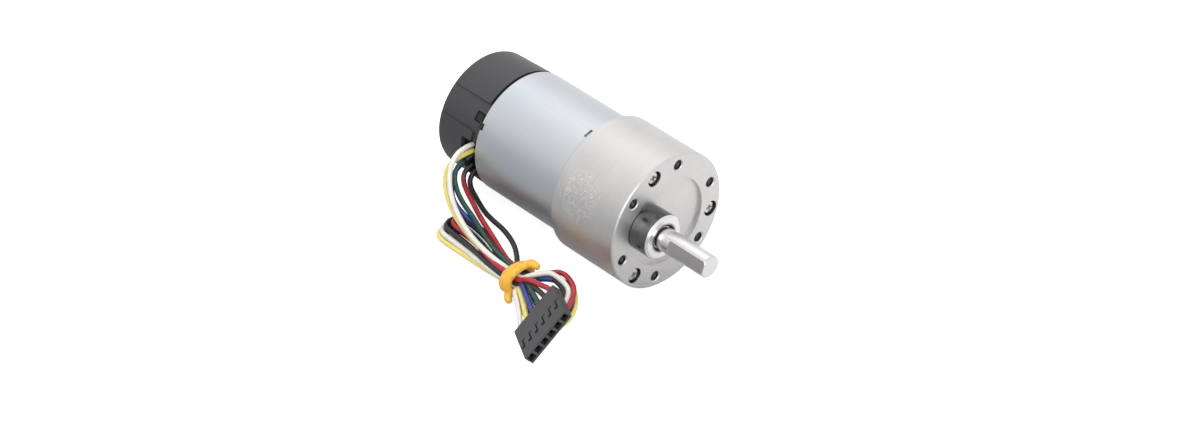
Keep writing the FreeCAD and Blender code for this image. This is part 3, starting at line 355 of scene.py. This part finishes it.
def make_tie(materials):
    """The cord winds round the waist, its last turn over the others, with two loose ends."""
    points = [Vector(p) for p in TIE_LOWER_END]
    for i, (polar, shift) in enumerate(TIE_TURNS):
        angle = math.radians(polar)
        over = TIE_OVER * max(0.0, (i - TIE_CLIMB_FROM) / TIE_CLIMB_POINTS)
        y = TIE_CENTRE.y + (TIE_REACH[0] + over) * math.cos(angle)
        z = TIE_CENTRE.z + (TIE_REACH[1] + over) * math.sin(angle)
        points.append(Vector((TIE_CENTRE.x + shift, y, max(z, FLOOR_Z + TIE_FLOOR_SHARE * TIE_D))))
    points += [Vector(p) for p in TIE_UPPER_END]
    piece, path = tube("wire_tie_cord", points, TIE_D, rounded=True)
    for vertex in piece.data.vertices:
        rough = sum(noise.noise(vertex.co * scale) * height for scale, height in TIE_UNEVEN)
        moved = vertex.co + vertex.normal * rough
        vertex.co = Vector((moved.x, moved.y, max(moved.z, FLOOR_Z + TIE_FLOOR_GAP)))
    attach(piece, BODY)
    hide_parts("wire_tie")
    dress(piece, materials["tie_orange"])
    return piece


# ---- threads of the six face holes ----
HOLE_CIRCLE_R = 0.0155
HOLE_POLARS = (15, 75, 135, 195, 255, 315)
COUNTERBORE_POLAR = 105
THREAD_CREST_R = 0.00106
THREAD_ROOT_R = 0.00126
THREAD_PITCH = 0.0005
THREAD_TURNS = 5
THREAD_STEPS = 24
THREAD_FRONT_X = -0.0004
# the ridge's four corners: radius and place along the pitch
THREAD_RIDGE = ((THREAD_ROOT_R, 0.0), (THREAD_CREST_R, -0.4), (THREAD_CREST_R, -0.5),
                (THREAD_ROOT_R, -0.9))


def make_threads(materials):
    """A helical ridge in each hole, as one piece."""
    mesh = bpy.data.meshes.new("hole_threads")
    made = bmesh.new()
    for polar in HOLE_POLARS:
        hole_y = HOLE_CIRCLE_R * math.cos(math.radians(polar))
        hole_z = HOLE_CIRCLE_R * math.sin(math.radians(polar))
        rows = []
        for i in range(THREAD_TURNS * THREAD_STEPS + 1):
            angle = 2 * math.pi * i / THREAD_STEPS
            x = THREAD_FRONT_X - THREAD_PITCH * i / THREAD_STEPS
            rows.append([made.verts.new((x + dx * THREAD_PITCH, hole_y + radius * math.cos(angle),
                                         hole_z + radius * math.sin(angle)))
                         for radius, dx in THREAD_RIDGE])
        for a, b in zip(rows, rows[1:]):
            for k in range(len(THREAD_RIDGE) - 1):
                made.faces.new((a[k], a[k + 1], b[k + 1], b[k]))
            made.faces.new((a[-1], a[0], b[0], b[-1]))
        made.faces.new(rows[0][::-1])
        made.faces.new(rows[-1])
    bmesh.ops.recalc_face_normals(made, faces=made.faces)
    made.to_mesh(mesh)
    made.free()
    piece = bpy.data.objects.new("hole_threads", mesh)
    bpy.context.scene.collection.objects.link(piece)
    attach(piece, BODY)
    dress(piece, materials["thread_steel"])


# ---- node materials ----
# the output shaft's axis
OUTPUT_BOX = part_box("output_shaft")
OUTPUT_Y = (OUTPUT_BOX[0].y + OUTPUT_BOX[1].y) / 2
OUTPUT_Z = (OUTPUT_BOX[0].z + OUTPUT_BOX[1].z) / 2
STEEL = (0.64, 0.625, 0.62)
STEEL_LIGHT = (0.66, 0.655, 0.65)
POLISHED = (0.80, 0.785, 0.79)
# the darker leads fade into shade between these y, where they leave the cap
EXIT_SHADE = (-0.0182, -0.0166)
EXIT_DARK = (0.010, 0.010, 0.011)
# leads with a channel of this brightness or more stay bright there
PALE_LEAD = 0.9
# the cap is painted dark in front of this x, where it meets the can, over a short step: painted
# shade of the gap there
CAP_SEAM = -0.0530
CAP_SEAM_STEP = 0.00004
LAMINATION_PITCH = 0.0005
# the boss: its bright front edge, and the shade in the mouth of its bore
BOSS_BRIGHT_X = 0.00055
BORE_MOUTH_R = 0.00352
BORE_SHADE = 0.0007
# the shaft's milled flat: where it starts, and the direction that it faces
FLAT_START_X = 0.0099
FLAT_POLAR = 160.5
# how nearly a face must look along the motor axis, or along that direction, to count as facing it
FACES_AXIS = 0.9
FACES_FLAT = 0.999
# the face's holes: how deep their painted shade starts on the walls, and how far from their middles
# it reaches
HOLE_WALL_X = -0.00015
HOLE_WALL_R = 0.00132
COUNTERBORE_WALL_R = 0.0022
# a plain etched patch: middle and half length (x), middle and half width (polar degrees)
ETCHED_PATCH = (-0.0140, 0.0072, 152.0, 23.0)
# its soft edge as shares of its half sizes squared, and its strokes: the noise's scale, how many
# lines the noise is folded into, between which heights a fold becomes a stroke, and its strength
ETCH_EDGE = (1.0, 0.55)
ETCH_SCALE = 300.0
ETCH_FOLDS = 9.0
ETCH_STROKE = (0.30, 0.42)
ETCH_STRENGTH = 0.65


class Paint:
    """A small helper that builds one principled material."""

    def __init__(self, name, base, metallic=0.0, roughness=0.5, **sockets):
        self.name = name
        self.material = bpy.data.materials.new(name)
        self.material.use_nodes = True
        self.tree = self.material.node_tree
        self.shader = self.tree.nodes["Principled BSDF"]
        self.shader.inputs["Base Color"].default_value = (*base, 1)
        self.shader.inputs["Metallic"].default_value = metallic
        self.shader.inputs["Roughness"].default_value = roughness
        for key, value in sockets.items():
            self.shader.inputs[key.replace("_", " ")].default_value = value
        self.place = self.node("ShaderNodeTexCoord").outputs["Object"]

    def node(self, kind, **settings):
        made = self.tree.nodes.new(kind)
        for key, value in settings.items():
            setattr(made, key, value)
        return made

    def feed(self, socket, value):
        if isinstance(value, bpy.types.NodeSocket):
            self.tree.links.new(value, socket)
        else:
            socket.default_value = value

    def math(self, operation, *values):
        made = self.node("ShaderNodeMath", operation=operation)
        for socket, value in zip(made.inputs, values):
            self.feed(socket, value)
        return made.outputs[0]

    def parts(self, vector=None):
        split = self.node("ShaderNodeSeparateXYZ")
        self.feed(split.inputs[0], vector or self.place)
        return split.outputs

    def join(self, x, y, z):
        made = self.node("ShaderNodeCombineXYZ")
        for socket, value in zip(made.inputs, (x, y, z)):
            self.feed(socket, value)
        return made.outputs[0]

    def noise(self, vector, scale=1.0, detail=3.0, rough=0.55):
        made = self.node("ShaderNodeTexNoise")
        self.feed(made.inputs["Vector"], vector)
        made.inputs["Scale"].default_value = scale
        made.inputs["Detail"].default_value = detail
        made.inputs["Roughness"].default_value = rough
        return made.outputs["Fac"]

    def streaks(self, first, first_scale, second, second_scale, detail):
        """Noise stretched unevenly over two values."""
        return self.noise(self.join(self.math("MULTIPLY", first, first_scale),
                                    self.math("MULTIPLY", second, second_scale), 0.0),
                          detail=detail)

    def spread(self, value, low, high, out_low=0.0, out_high=1.0):
        made = self.node("ShaderNodeMapRange", clamp=True)
        for socket, number in zip(made.inputs, (value, low, high, out_low, out_high)):
            self.feed(socket, number)
        return made.outputs[0]

    def blend(self, share, first, second):
        made = self.node("ShaderNodeMix", data_type="RGBA")
        self.feed(made.inputs[0], share)
        self.feed(made.inputs[6], (*first, 1) if isinstance(first, tuple) else first)
        self.feed(made.inputs[7], (*second, 1) if isinstance(second, tuple) else second)
        return made.outputs[2]

    def around(self, y0=0.0, z0=0.0):
        """x, and the polar angle (radians) and radius round an axis along X."""
        x, y, z = self.parts()
        dy = self.math("SUBTRACT", y, y0)
        dz = self.math("SUBTRACT", z, z0)
        squares = self.math("ADD", self.math("MULTIPLY", dy, dy), self.math("MULTIPLY", dz, dz))
        radius = self.math("SQRT", squares)
        return x, self.math("ARCTAN2", dz, dy), radius

    def facing_x(self):
        """1 on faces square to the motor axis."""
        normal = self.node("ShaderNodeNewGeometry").outputs["True Normal"]
        return self.math("GREATER_THAN", self.math("ABSOLUTE", self.parts(normal)[0]), FACES_AXIS)

    def colour(self, value):
        self.feed(self.shader.inputs["Base Color"], value)

    def roughness(self, value):
        self.feed(self.shader.inputs["Roughness"], value)

    def recolour(self, share, colour):
        """Blend a colour over the one that the material has by now."""
        current = self.shader.inputs["Base Color"].links[0].from_socket
        self.colour(self.blend(share, current, colour))

    def relief(self, height, distance, strength=1.0, edge=0.0):
        """Bump, over rounded edges where edge is a radius."""
        bump = self.node("ShaderNodeBump")
        bump.inputs["Strength"].default_value = strength
        bump.inputs["Distance"].default_value = distance
        self.feed(bump.inputs["Height"], height)
        if edge:
            bevel = self.node("ShaderNodeBevel", samples=4)
            bevel.inputs["Radius"].default_value = edge
            self.feed(bump.inputs["Normal"], bevel.outputs[0])
        self.feed(self.shader.inputs["Normal"], bump.outputs[0])


def turned_metal(name, base, roughness, contrast=0.08, grain=0.00002, y0=0.0, z0=0.0,
                 edge=0.00012, tint=None):
    """Metal with fine marks that run round the axis, on its side and on its end faces."""
    paint = Paint(name, base, metallic=1.0, roughness=roughness)
    x, angle, radius = paint.around(y0, z0)
    outward = paint.math("MULTIPLY", paint.facing_x(), paint.math("SUBTRACT", radius, x))
    marks = paint.streaks(paint.math("ADD", outward, x), 5200.0, angle, 2.2, 4.0)
    cloud = paint.noise(paint.place, scale=160.0)
    speck = paint.noise(paint.place, scale=2600.0, detail=2.0)
    soft = paint.math("ADD", paint.math("MULTIPLY", cloud, 0.3), paint.math("MULTIPLY", speck, 0.2))
    share = paint.math("ADD", paint.math("MULTIPLY", marks, 0.5), soft)
    dark = tuple(c * (1 - contrast) for c in base)
    light = tuple(min(1.0, c * (1 + contrast)) for c in (tint or base))
    paint.colour(paint.blend(paint.spread(share, 0.3, 0.7), dark, light))
    paint.roughness(paint.spread(share, 0.3, 0.7, roughness * 0.82, roughness * 1.2))
    paint.relief(paint.math("ADD", marks, paint.math("MULTIPLY", speck, 0.6)), grain, 0.6, edge)
    return paint


def plain_metal(name, base, roughness, contrast=0.12, scale=900.0, edge=0.00008):
    """Bare metal with a fine cloudy grain."""
    paint = Paint(name, base, metallic=1.0, roughness=roughness)
    fine = paint.noise(paint.place, scale=scale)
    dark = tuple(c * (1 - contrast) for c in base)
    light = tuple(min(1.0, c * (1 + contrast)) for c in base)
    paint.colour(paint.blend(paint.spread(fine, 0.35, 0.65), dark, light))
    paint.roughness(paint.spread(fine, 0.3, 0.7, roughness * 0.8, roughness * 1.25))
    paint.relief(fine, 0.00001, 0.5, edge)
    return paint


def moulded(name, base, roughness, texture=0.00002, scale=2400.0, paler=1.5, edge=0.00015):
    """Moulded plastic: a fine eroded texture and faint flow clouds, paler by a factor."""
    paint = Paint(name, base, roughness=roughness, Specular_IOR_Level=0.5)
    fine = paint.noise(paint.place, scale=scale, detail=2.0)
    cloud = paint.noise(paint.place, scale=140.0)
    pale = tuple(min(1.0, c * paler) for c in base)
    share = paint.math("ADD", paint.math("MULTIPLY", fine, 0.35),
                       paint.math("MULTIPLY", cloud, 0.35))
    paint.colour(paint.blend(paint.spread(share, 0.2, 0.55), base, pale))
    paint.roughness(paint.spread(fine, 0.3, 0.7, roughness * 0.85, roughness * 1.15))
    paint.relief(fine, texture, 0.7, edge)
    return paint


def insulation(name, base, deep):
    """Lead insulation: soft gloss and small stains. Darker leads start in shade at the cap."""
    paint = Paint(name, base, roughness=0.36, Specular_IOR_Level=0.5, Coat_Weight=0.25,
                  Coat_Roughness=0.25, Subsurface_Weight=0.15, Subsurface_Scale=0.0004)
    cloud = paint.noise(paint.place, scale=420.0)
    fine = paint.noise(paint.place, scale=3200.0, detail=2.0)
    shade = paint.blend(paint.spread(cloud, 0.35, 0.7), base, deep)
    if max(base) < PALE_LEAD:
        hidden = paint.spread(paint.parts()[1], *EXIT_SHADE)
        shade = paint.blend(hidden, shade, EXIT_DARK)
    paint.colour(shade)
    paint.roughness(paint.spread(fine, 0.3, 0.7, 0.28, 0.46))
    paint.relief(paint.math("ADD", fine, paint.math("MULTIPLY", cloud, 2.0)), 0.00002, 0.5)
    return paint


def make_materials():
    """One material per slot of the record, by the slot's name."""
    made = [
        turned_metal("casing_steel", STEEL, 0.46, tint=STEEL_LIGHT),
        can_finish(),
        turned_metal("polished_steel", POLISHED, 0.2, 0.05, 0.000006, OUTPUT_Y, OUTPUT_Z),
        # thread_steel is near black: painted shade, as the threads sit deep in the holes
        plain_metal("thread_steel", (0.10, 0.098, 0.098), 0.35),
        plain_metal("gear_steel", (0.45, 0.44, 0.42), 0.3),
        plain_metal("screw_steel", (0.66, 0.65, 0.64), 0.27, edge=0.0001),
        plain_metal("sintered_bronze", (0.52, 0.33, 0.17), 0.5, 0.25, 3000.0),
        plain_metal("brass", (0.78, 0.57, 0.25), 0.28),
        plain_metal("copper", (0.80, 0.36, 0.20), 0.3),
        moulded("ferrite", (0.045, 0.044, 0.043), 0.62, 0.00003, 1500.0),
        lamination_finish(),
        moulded("carbon", (0.02, 0.02, 0.021), 0.7, 0.00003, 1800.0),
        moulded("bell_plastic", (0.60, 0.58, 0.52), 0.5, paler=1.1),
        cap_finish(),
        board_finish(),
        plain_metal("solder", (0.72, 0.72, 0.70), 0.22, 0.1, 1200.0),
        moulded("chip_plastic", (0.022, 0.022, 0.023), 0.45),
        moulded("connector_plastic", (0.060, 0.059, 0.064), 0.42, 0.000012, 3000.0, 1.25, 0.00012),
        # terminal_tin is near black: painted shade, so the connector's windows look dark
        plain_metal("terminal_tin", (0.07, 0.068, 0.065), 0.35, 0.2),
        tie_finish(),
        insulation("wire_white", (0.90, 0.87, 0.82), (0.80, 0.76, 0.70)),
        insulation("wire_yellow", (0.93, 0.80, 0.26), (0.86, 0.70, 0.17)),
        insulation("wire_green", (0.012, 0.085, 0.065), (0.007, 0.055, 0.045)),
        insulation("wire_blue", (0.018, 0.065, 0.36), (0.012, 0.035, 0.22)),
        insulation("wire_red", (0.55, 0.026, 0.042), (0.34, 0.014, 0.026)),
        insulation("wire_black", (0.020, 0.021, 0.021), (0.012, 0.012, 0.013)),
    ]
    return {paint.name: paint.material for paint in made}


def can_finish():
    """Zinc-plated drawn steel: lines along the axis and a faint cold and warm bloom."""
    base = (0.62, 0.65, 0.69)
    paint = Paint("can_steel", base, metallic=1.0, roughness=0.42)
    x, angle, _ = paint.around()
    lines = paint.streaks(x, 90.0, angle, 55.0, 4.0)
    bloom = paint.noise(paint.place, scale=70.0, detail=2.0)
    speck = paint.noise(paint.place, scale=2200.0, detail=2.0)
    cold = paint.blend(paint.spread(bloom, 0.35, 0.68), (0.60, 0.64, 0.69), (0.65, 0.66, 0.67))
    paint.colour(paint.blend(paint.spread(lines, 0.35, 0.75, 0.0, 0.35), cold, (0.52, 0.56, 0.61)))
    rough = paint.math("ADD", lines, paint.math("MULTIPLY", speck, 0.4))
    paint.roughness(paint.spread(rough, 0.45, 0.95, 0.37, 0.5))
    paint.relief(paint.math("ADD", lines, speck), 0.000012, 0.6, 0.00012)
    return paint


def lamination_finish():
    """Stacked sheets: thin dark joints across the axis."""
    paint = Paint("lamination", (0.42, 0.41, 0.40), metallic=1.0, roughness=0.42)
    x = paint.parts()[0]
    wave = paint.math("SINE", paint.math("MULTIPLY", x, 2 * math.pi / LAMINATION_PITCH))
    fine = paint.noise(paint.place, scale=1200.0)
    paint.colour(paint.blend(paint.spread(wave, 0.2, 0.9), (0.46, 0.45, 0.44), (0.16, 0.155, 0.15)))
    paint.roughness(paint.spread(fine, 0.3, 0.7, 0.34, 0.5))
    paint.relief(wave, 0.00004, 0.6)
    return paint


def cap_finish():
    """Charcoal moulded plastic. Its edge towards the can is painted dark, as painted shade of the
    gap at the can.
    """
    base = (0.040, 0.039, 0.043)
    paint = Paint("cap_plastic", base, roughness=0.44, Specular_IOR_Level=0.55)
    fine = paint.noise(paint.place, scale=2600.0, detail=2.0)
    cloud = paint.noise(paint.place, scale=120.0)
    share = paint.math("ADD", paint.math("MULTIPLY", fine, 0.4), paint.math("MULTIPLY", cloud, 0.3))
    shade = paint.blend(paint.spread(share, 0.2, 0.55), base, (0.053, 0.052, 0.057))
    x = paint.parts()[0]
    # painted shade along the cap's edge where it meets the can
    painted_seam_shade = paint.spread(x, CAP_SEAM - CAP_SEAM_STEP, CAP_SEAM + CAP_SEAM_STEP)
    paint.colour(paint.blend(painted_seam_shade, shade, (0.006, 0.006, 0.007)))
    paint.roughness(paint.spread(fine, 0.3, 0.7, 0.38, 0.52))
    paint.relief(fine, 0.000022, 0.7, 0.00015)
    return paint


def board_finish():
    """Dark green solder mask over a fine weave, paler on the traces."""
    base = (0.007, 0.020, 0.012)
    paint = Paint("board", base, roughness=0.35, Coat_Weight=0.4, Coat_Roughness=0.2)
    weave = paint.noise(paint.place, scale=1500.0)
    _, y, z = paint.parts()
    trace = paint.streaks(y, 900.0, z, 120.0, 1.0)
    paint.colour(paint.blend(paint.spread(trace, 0.55, 0.6), base, (0.012, 0.034, 0.020)))
    paint.roughness(paint.spread(weave, 0.3, 0.7, 0.3, 0.45))
    paint.relief(paint.math("ADD", weave, trace), 0.00003, 0.5)
    return paint


def tie_finish():
    """A soft, slightly hairy cover."""
    base = (0.94, 0.47, 0.05)
    paint = Paint("tie_orange", base, roughness=0.78, Sheen_Weight=0.6, Sheen_Roughness=0.4,
                  Sheen_Tint=(1.0, 0.82, 0.45, 1.0))
    fibre = paint.noise(paint.place, scale=2600.0, detail=4.0, rough=0.65)
    cloud = paint.noise(paint.place, scale=600.0)
    shade = paint.blend(paint.spread(cloud, 0.35, 0.7), base, (0.98, 0.62, 0.10))
    paint.colour(paint.blend(paint.spread(fibre, 0.55, 0.8, 0.0, 0.7), shade, (0.74, 0.34, 0.03)))
    paint.relief(paint.math("ADD", fibre, paint.math("MULTIPLY", cloud, 1.4)), 0.00016, 0.8)
    return paint


def dress(thing, material):
    """Give an object this one material."""
    slots = thing.data.materials
    slots.clear()
    slots.append(material)


def dress_nodes(materials):
    """Every CAD node takes its record slot's material, apart from a few with their own finish."""
    made = [bushing_finish(), shaft_finish(), housing_finish(), plate_finish(),
            # encoder_base is near black: painted shade inside the cap's lead window
            moulded("encoder_base", (0.010, 0.010, 0.011), 0.6)]
    own = {paint.name: paint.material for paint in made}
    for part in frame["record"]["subparts"]:
        node = part["node"]
        dress(bpy.data.objects[node], own.get(node) or materials[part["material_slot"]])


def bushing_finish():
    """Turned side painted dark as painted shade, bright chamfer and end face, and shade in the
    mouth of the bore.
    """
    paint = turned_metal("output_bushing", POLISHED, 0.24, 0.06, 0.00001, OUTPUT_Y, OUTPUT_Z,
                         0.0001)
    x, angle, radius = paint.around(OUTPUT_Y, OUTPUT_Z)
    side = paint.math("LESS_THAN", x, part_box("output_bushing")[1].x - BOSS_BRIGHT_X)
    marks = paint.streaks(x, 6000.0, angle, 2.0, 3.0)
    # painted shade: the side is painted far darker than the polished end face, for the dark
    # reflection on it
    dark = paint.blend(paint.spread(marks, 0.35, 0.65), (0.13, 0.13, 0.135), (0.21, 0.208, 0.212))
    paint.colour(paint.blend(side, POLISHED, dark))
    mouth = paint.spread(radius, BORE_MOUTH_R + BORE_SHADE, BORE_MOUTH_R)
    paint.recolour(mouth, (0.05, 0.05, 0.052))
    return paint


def shaft_finish():
    """Ground round part; a rougher milled flat, painted darker as painted shade for its dark
    reflection.

    The flat is found by its normal in the world, which is right at rest only: when the shaft turns,
    the flat's painted shade and rougher finish do not turn with it.
    """
    paint = turned_metal("output_shaft", POLISHED, 0.2, 0.05, 0.000006, OUTPUT_Y, OUTPUT_Z)
    x, _, z = paint.parts()
    _, normal_y, normal_z = paint.parts(paint.node("ShaderNodeNewGeometry").outputs["True Normal"])
    polar = math.radians(FLAT_POLAR)
    along = paint.math("ADD", paint.math("MULTIPLY", normal_y, math.cos(polar)),
                       paint.math("MULTIPLY", normal_z, math.sin(polar)))
    flat = paint.math("MULTIPLY", paint.math("GREATER_THAN", along, FACES_FLAT),
                      paint.math("GREATER_THAN", x, FLAT_START_X))
    milled = paint.streaks(x, 300.0, z, 5000.0, 3.0)
    # painted shade: the flat is painted darker than the round part, for the dark reflection it
    # shows
    painted_flat_shade = paint.blend(paint.spread(milled, 0.35, 0.65),
                         (0.50, 0.485, 0.495), (0.57, 0.555, 0.565))
    paint.colour(paint.blend(flat, (0.72, 0.705, 0.71), painted_flat_shade))
    paint.roughness(paint.math("ADD", paint.math("MULTIPLY", flat, 0.18), 0.26))
    return paint


def plate_finish():
    """As the casing. The walls of the six threaded holes and of the three counterbores are painted
    dark as painted shade.
    """
    paint = turned_metal("front_plate", STEEL, 0.44, tint=STEEL_LIGHT)
    x, angle, radius = paint.around()
    below = paint.math("LESS_THAN", x, HOLE_WALL_X)

    def near(step, polar, reach):
        """1 within reach of the holes that stand every step round the hole circle."""
        turn = paint.math("ADD", angle, 2 * math.pi + step / 2 - math.radians(polar))
        turn = paint.math("SUBTRACT", paint.math("MODULO", turn, step), step / 2)
        across = paint.math("MULTIPLY", radius, paint.math("SINE", turn))
        out = paint.math("MULTIPLY", radius, paint.math("COSINE", turn))
        out = paint.math("SUBTRACT", out, HOLE_CIRCLE_R)
        squares = paint.math("ADD", paint.math("MULTIPLY", across, across),
                             paint.math("MULTIPLY", out, out))
        return paint.math("MULTIPLY", below,
                          paint.math("LESS_THAN", paint.math("SQRT", squares), reach))

    # painted shade on the walls of the threaded holes and, lighter, of the counterbores
    paint.recolour(near(math.pi / 3, HOLE_POLARS[0], HOLE_WALL_R), (0.07, 0.068, 0.068))
    paint.recolour(near(2 * math.pi / 3, COUNTERBORE_POLAR, COUNTERBORE_WALL_R),
                   (0.13, 0.128, 0.128))
    return paint


def housing_finish():
    """As the casing, with a plain etched patch on the side that faces the leads."""
    paint = turned_metal("gearbox_housing", STEEL, 0.46, tint=STEEL_LIGHT)
    x, angle, _ = paint.around()
    middle_x, half_x, middle_polar, half_polar = ETCHED_PATCH
    dx = paint.math("DIVIDE", paint.math("SUBTRACT", x, middle_x), half_x)
    turn = paint.math("SUBTRACT", paint.math("ABSOLUTE", angle), math.radians(middle_polar))
    turn = paint.math("DIVIDE", turn, math.radians(half_polar))
    away = paint.math("ADD", paint.math("MULTIPLY", dx, dx), paint.math("MULTIPLY", turn, turn))
    upper = paint.math("GREATER_THAN", angle, 0.0)
    inside = paint.math("MULTIPLY", paint.spread(away, *ETCH_EDGE), upper)
    weave = paint.noise(paint.place, scale=ETCH_SCALE, detail=1.5)
    folds = paint.math("PINGPONG", paint.math("MULTIPLY", weave, ETCH_FOLDS), 0.5)
    strokes = paint.math("MULTIPLY", paint.spread(folds, *ETCH_STROKE), ETCH_STRENGTH)
    paint.recolour(paint.math("MULTIPLY", inside, strokes), (0.84, 0.83, 0.82))
    return paint


# ---- floor and light ----
FLOOR_HALF = 1.5
# how bright the floor is in reflections, from the side of the leads to the far side, and between
# which places it changes; a step along X counts for this much of one along Y
FLOOR_TONES = ((0.42, 0.42, 0.43), (0.92, 0.92, 0.92))
FLOOR_FADE = (-0.05, 0.03)
FLOOR_SLANT = 0.3
# the room's brightness from the horizon up, and its share from the side of the leads to the far
# side, which counts not at all high up and fully low down
ROOM_LEVELS = (0.82, 1.0)
ROOM_LEVEL_HEIGHTS = (-0.1, 0.62)
ROOM_SIDES = (0.62, 1.08)
ROOM_SIDE_PLACES = (-0.7, 0.5)
ROOM_SIDE_HEIGHTS = (0.55, 0.05)
WHITE = (1.0, 1.0, 1.0, 1.0)
# soft lights: place, the point they look at, size and power
LIGHTS = {
    "overhead": ((-0.15, 0.25, 0.70), (-0.02, 0, 0), 0.9, 1.2),
    "front": ((0.55, -0.50, 0.42), (-0.01, -0.01, 0), 0.6, 2.2),
}


def make_stage():
    """A plain pale floor. What the metal reflects of it falls off towards the leads."""
    mesh = bpy.data.meshes.new("floor")
    corners = [(-1, -1), (1, -1), (1, 1), (-1, 1)]
    mesh.from_pydata([(FLOOR_HALF * x, FLOOR_HALF * y, FLOOR_Z) for x, y in corners],
                     [], [(0, 1, 2, 3)])
    floor = bpy.data.objects.new("floor", mesh)
    bpy.context.scene.collection.objects.link(floor)
    paint = Paint("floor", (0.90, 0.90, 0.90), roughness=0.9, Specular_IOR_Level=0.0,
                  Emission_Strength=0.7, Emission_Color=WHITE)
    grain = paint.noise(paint.place, scale=300.0)
    paint.colour(paint.blend(grain, (0.89, 0.89, 0.89), (0.91, 0.91, 0.91)))
    x, y, _ = paint.parts()
    across = paint.math("ADD", y, paint.math("MULTIPLY", x, FLOOR_SLANT))
    reflected = paint.node("ShaderNodeBsdfDiffuse")
    paint.feed(reflected.inputs[0], paint.blend(paint.spread(across, *FLOOR_FADE), *FLOOR_TONES))
    mix = paint.node("ShaderNodeMixShader")
    paint.feed(mix.inputs[0], paint.node("ShaderNodeLightPath").outputs["Is Camera Ray"])
    paint.feed(mix.inputs[1], reflected.outputs[0])
    paint.feed(mix.inputs[2], paint.shader.outputs[0])
    paint.feed(paint.tree.nodes["Material Output"].inputs[0], mix.outputs[0])
    mesh.materials.append(paint.material)


def make_world():
    """Soft studio room: white above, darker low down and darkest on the side of the leads."""
    world = bpy.data.worlds.new("studio")
    world.use_nodes = True
    bpy.context.scene.world = world
    tree = world.node_tree

    def node(kind, **settings):
        made = tree.nodes.new(kind)
        for key, value in settings.items():
            setattr(made, key, value)
        return made

    def spread(value, numbers):
        made = node("ShaderNodeMapRange", clamp=True)
        tree.links.new(value, made.inputs[0])
        for socket, number in zip(made.inputs[1:], numbers):
            socket.default_value = number
        return made.outputs[0]

    split = node("ShaderNodeSeparateXYZ")
    tree.links.new(node("ShaderNodeTexCoord").outputs["Generated"], split.inputs[0])
    height = spread(split.outputs[2], (*ROOM_LEVEL_HEIGHTS, *ROOM_LEVELS))
    side = spread(split.outputs[1], (*ROOM_SIDE_PLACES, *ROOM_SIDES))
    low = spread(split.outputs[2], (*ROOM_SIDE_HEIGHTS, 0.0, 1.0))
    share = node("ShaderNodeMix", data_type="FLOAT")
    share.inputs[2].default_value = 1.0
    tree.links.new(low, share.inputs[0])
    tree.links.new(side, share.inputs[3])
    level = node("ShaderNodeMath", operation="MULTIPLY")
    tree.links.new(height, level.inputs[0])
    tree.links.new(share.outputs[0], level.inputs[1])
    room = tree.nodes["Background"]
    tree.links.new(level.outputs[0], room.inputs[1])
    room.inputs[0].default_value = WHITE
    backdrop = node("ShaderNodeBackground")
    backdrop.inputs[0].default_value = WHITE
    mix = node("ShaderNodeMixShader")
    tree.links.new(node("ShaderNodeLightPath").outputs["Is Camera Ray"], mix.inputs[0])
    tree.links.new(room.outputs[0], mix.inputs[1])
    tree.links.new(backdrop.outputs[0], mix.inputs[2])
    tree.links.new(mix.outputs[0], tree.nodes["World Output"].inputs[0])


def make_lights():
    for name, (place, target, size, power) in LIGHTS.items():
        light = bpy.data.lights.new(name, "AREA")
        light.size = size
        light.energy = power
        thing = bpy.data.objects.new(name, light)
        bpy.context.scene.collection.objects.link(thing)
        thing.location = place
        look = Vector(target) - Vector(place)
        thing.rotation_euler = look.to_track_quat("-Z", "Y").to_euler()


def make_leads(materials, tie):
    """Each lead as one cord that stands for its two CAD ends and its part of the hank."""
    for name in LEAD_ROUTES:
        piece, path = tube("lead_" + name + "_whole", lead_points(name), LEAD_D)
        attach(piece, BODY)
        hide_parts("lead_" + name, "lead_" + name + "_tail", "lead_hank")
        dress(piece, materials["wire_" + name])


make_camera()
slot_materials = make_materials()
make_leads(slot_materials, make_tie(slot_materials))
dress_nodes(slot_materials)
make_threads(slot_materials)
make_stage()
make_world()
make_lights()
bpy.context.scene.view_settings.view_transform = "Standard"

bpy.context.view_layer.update()
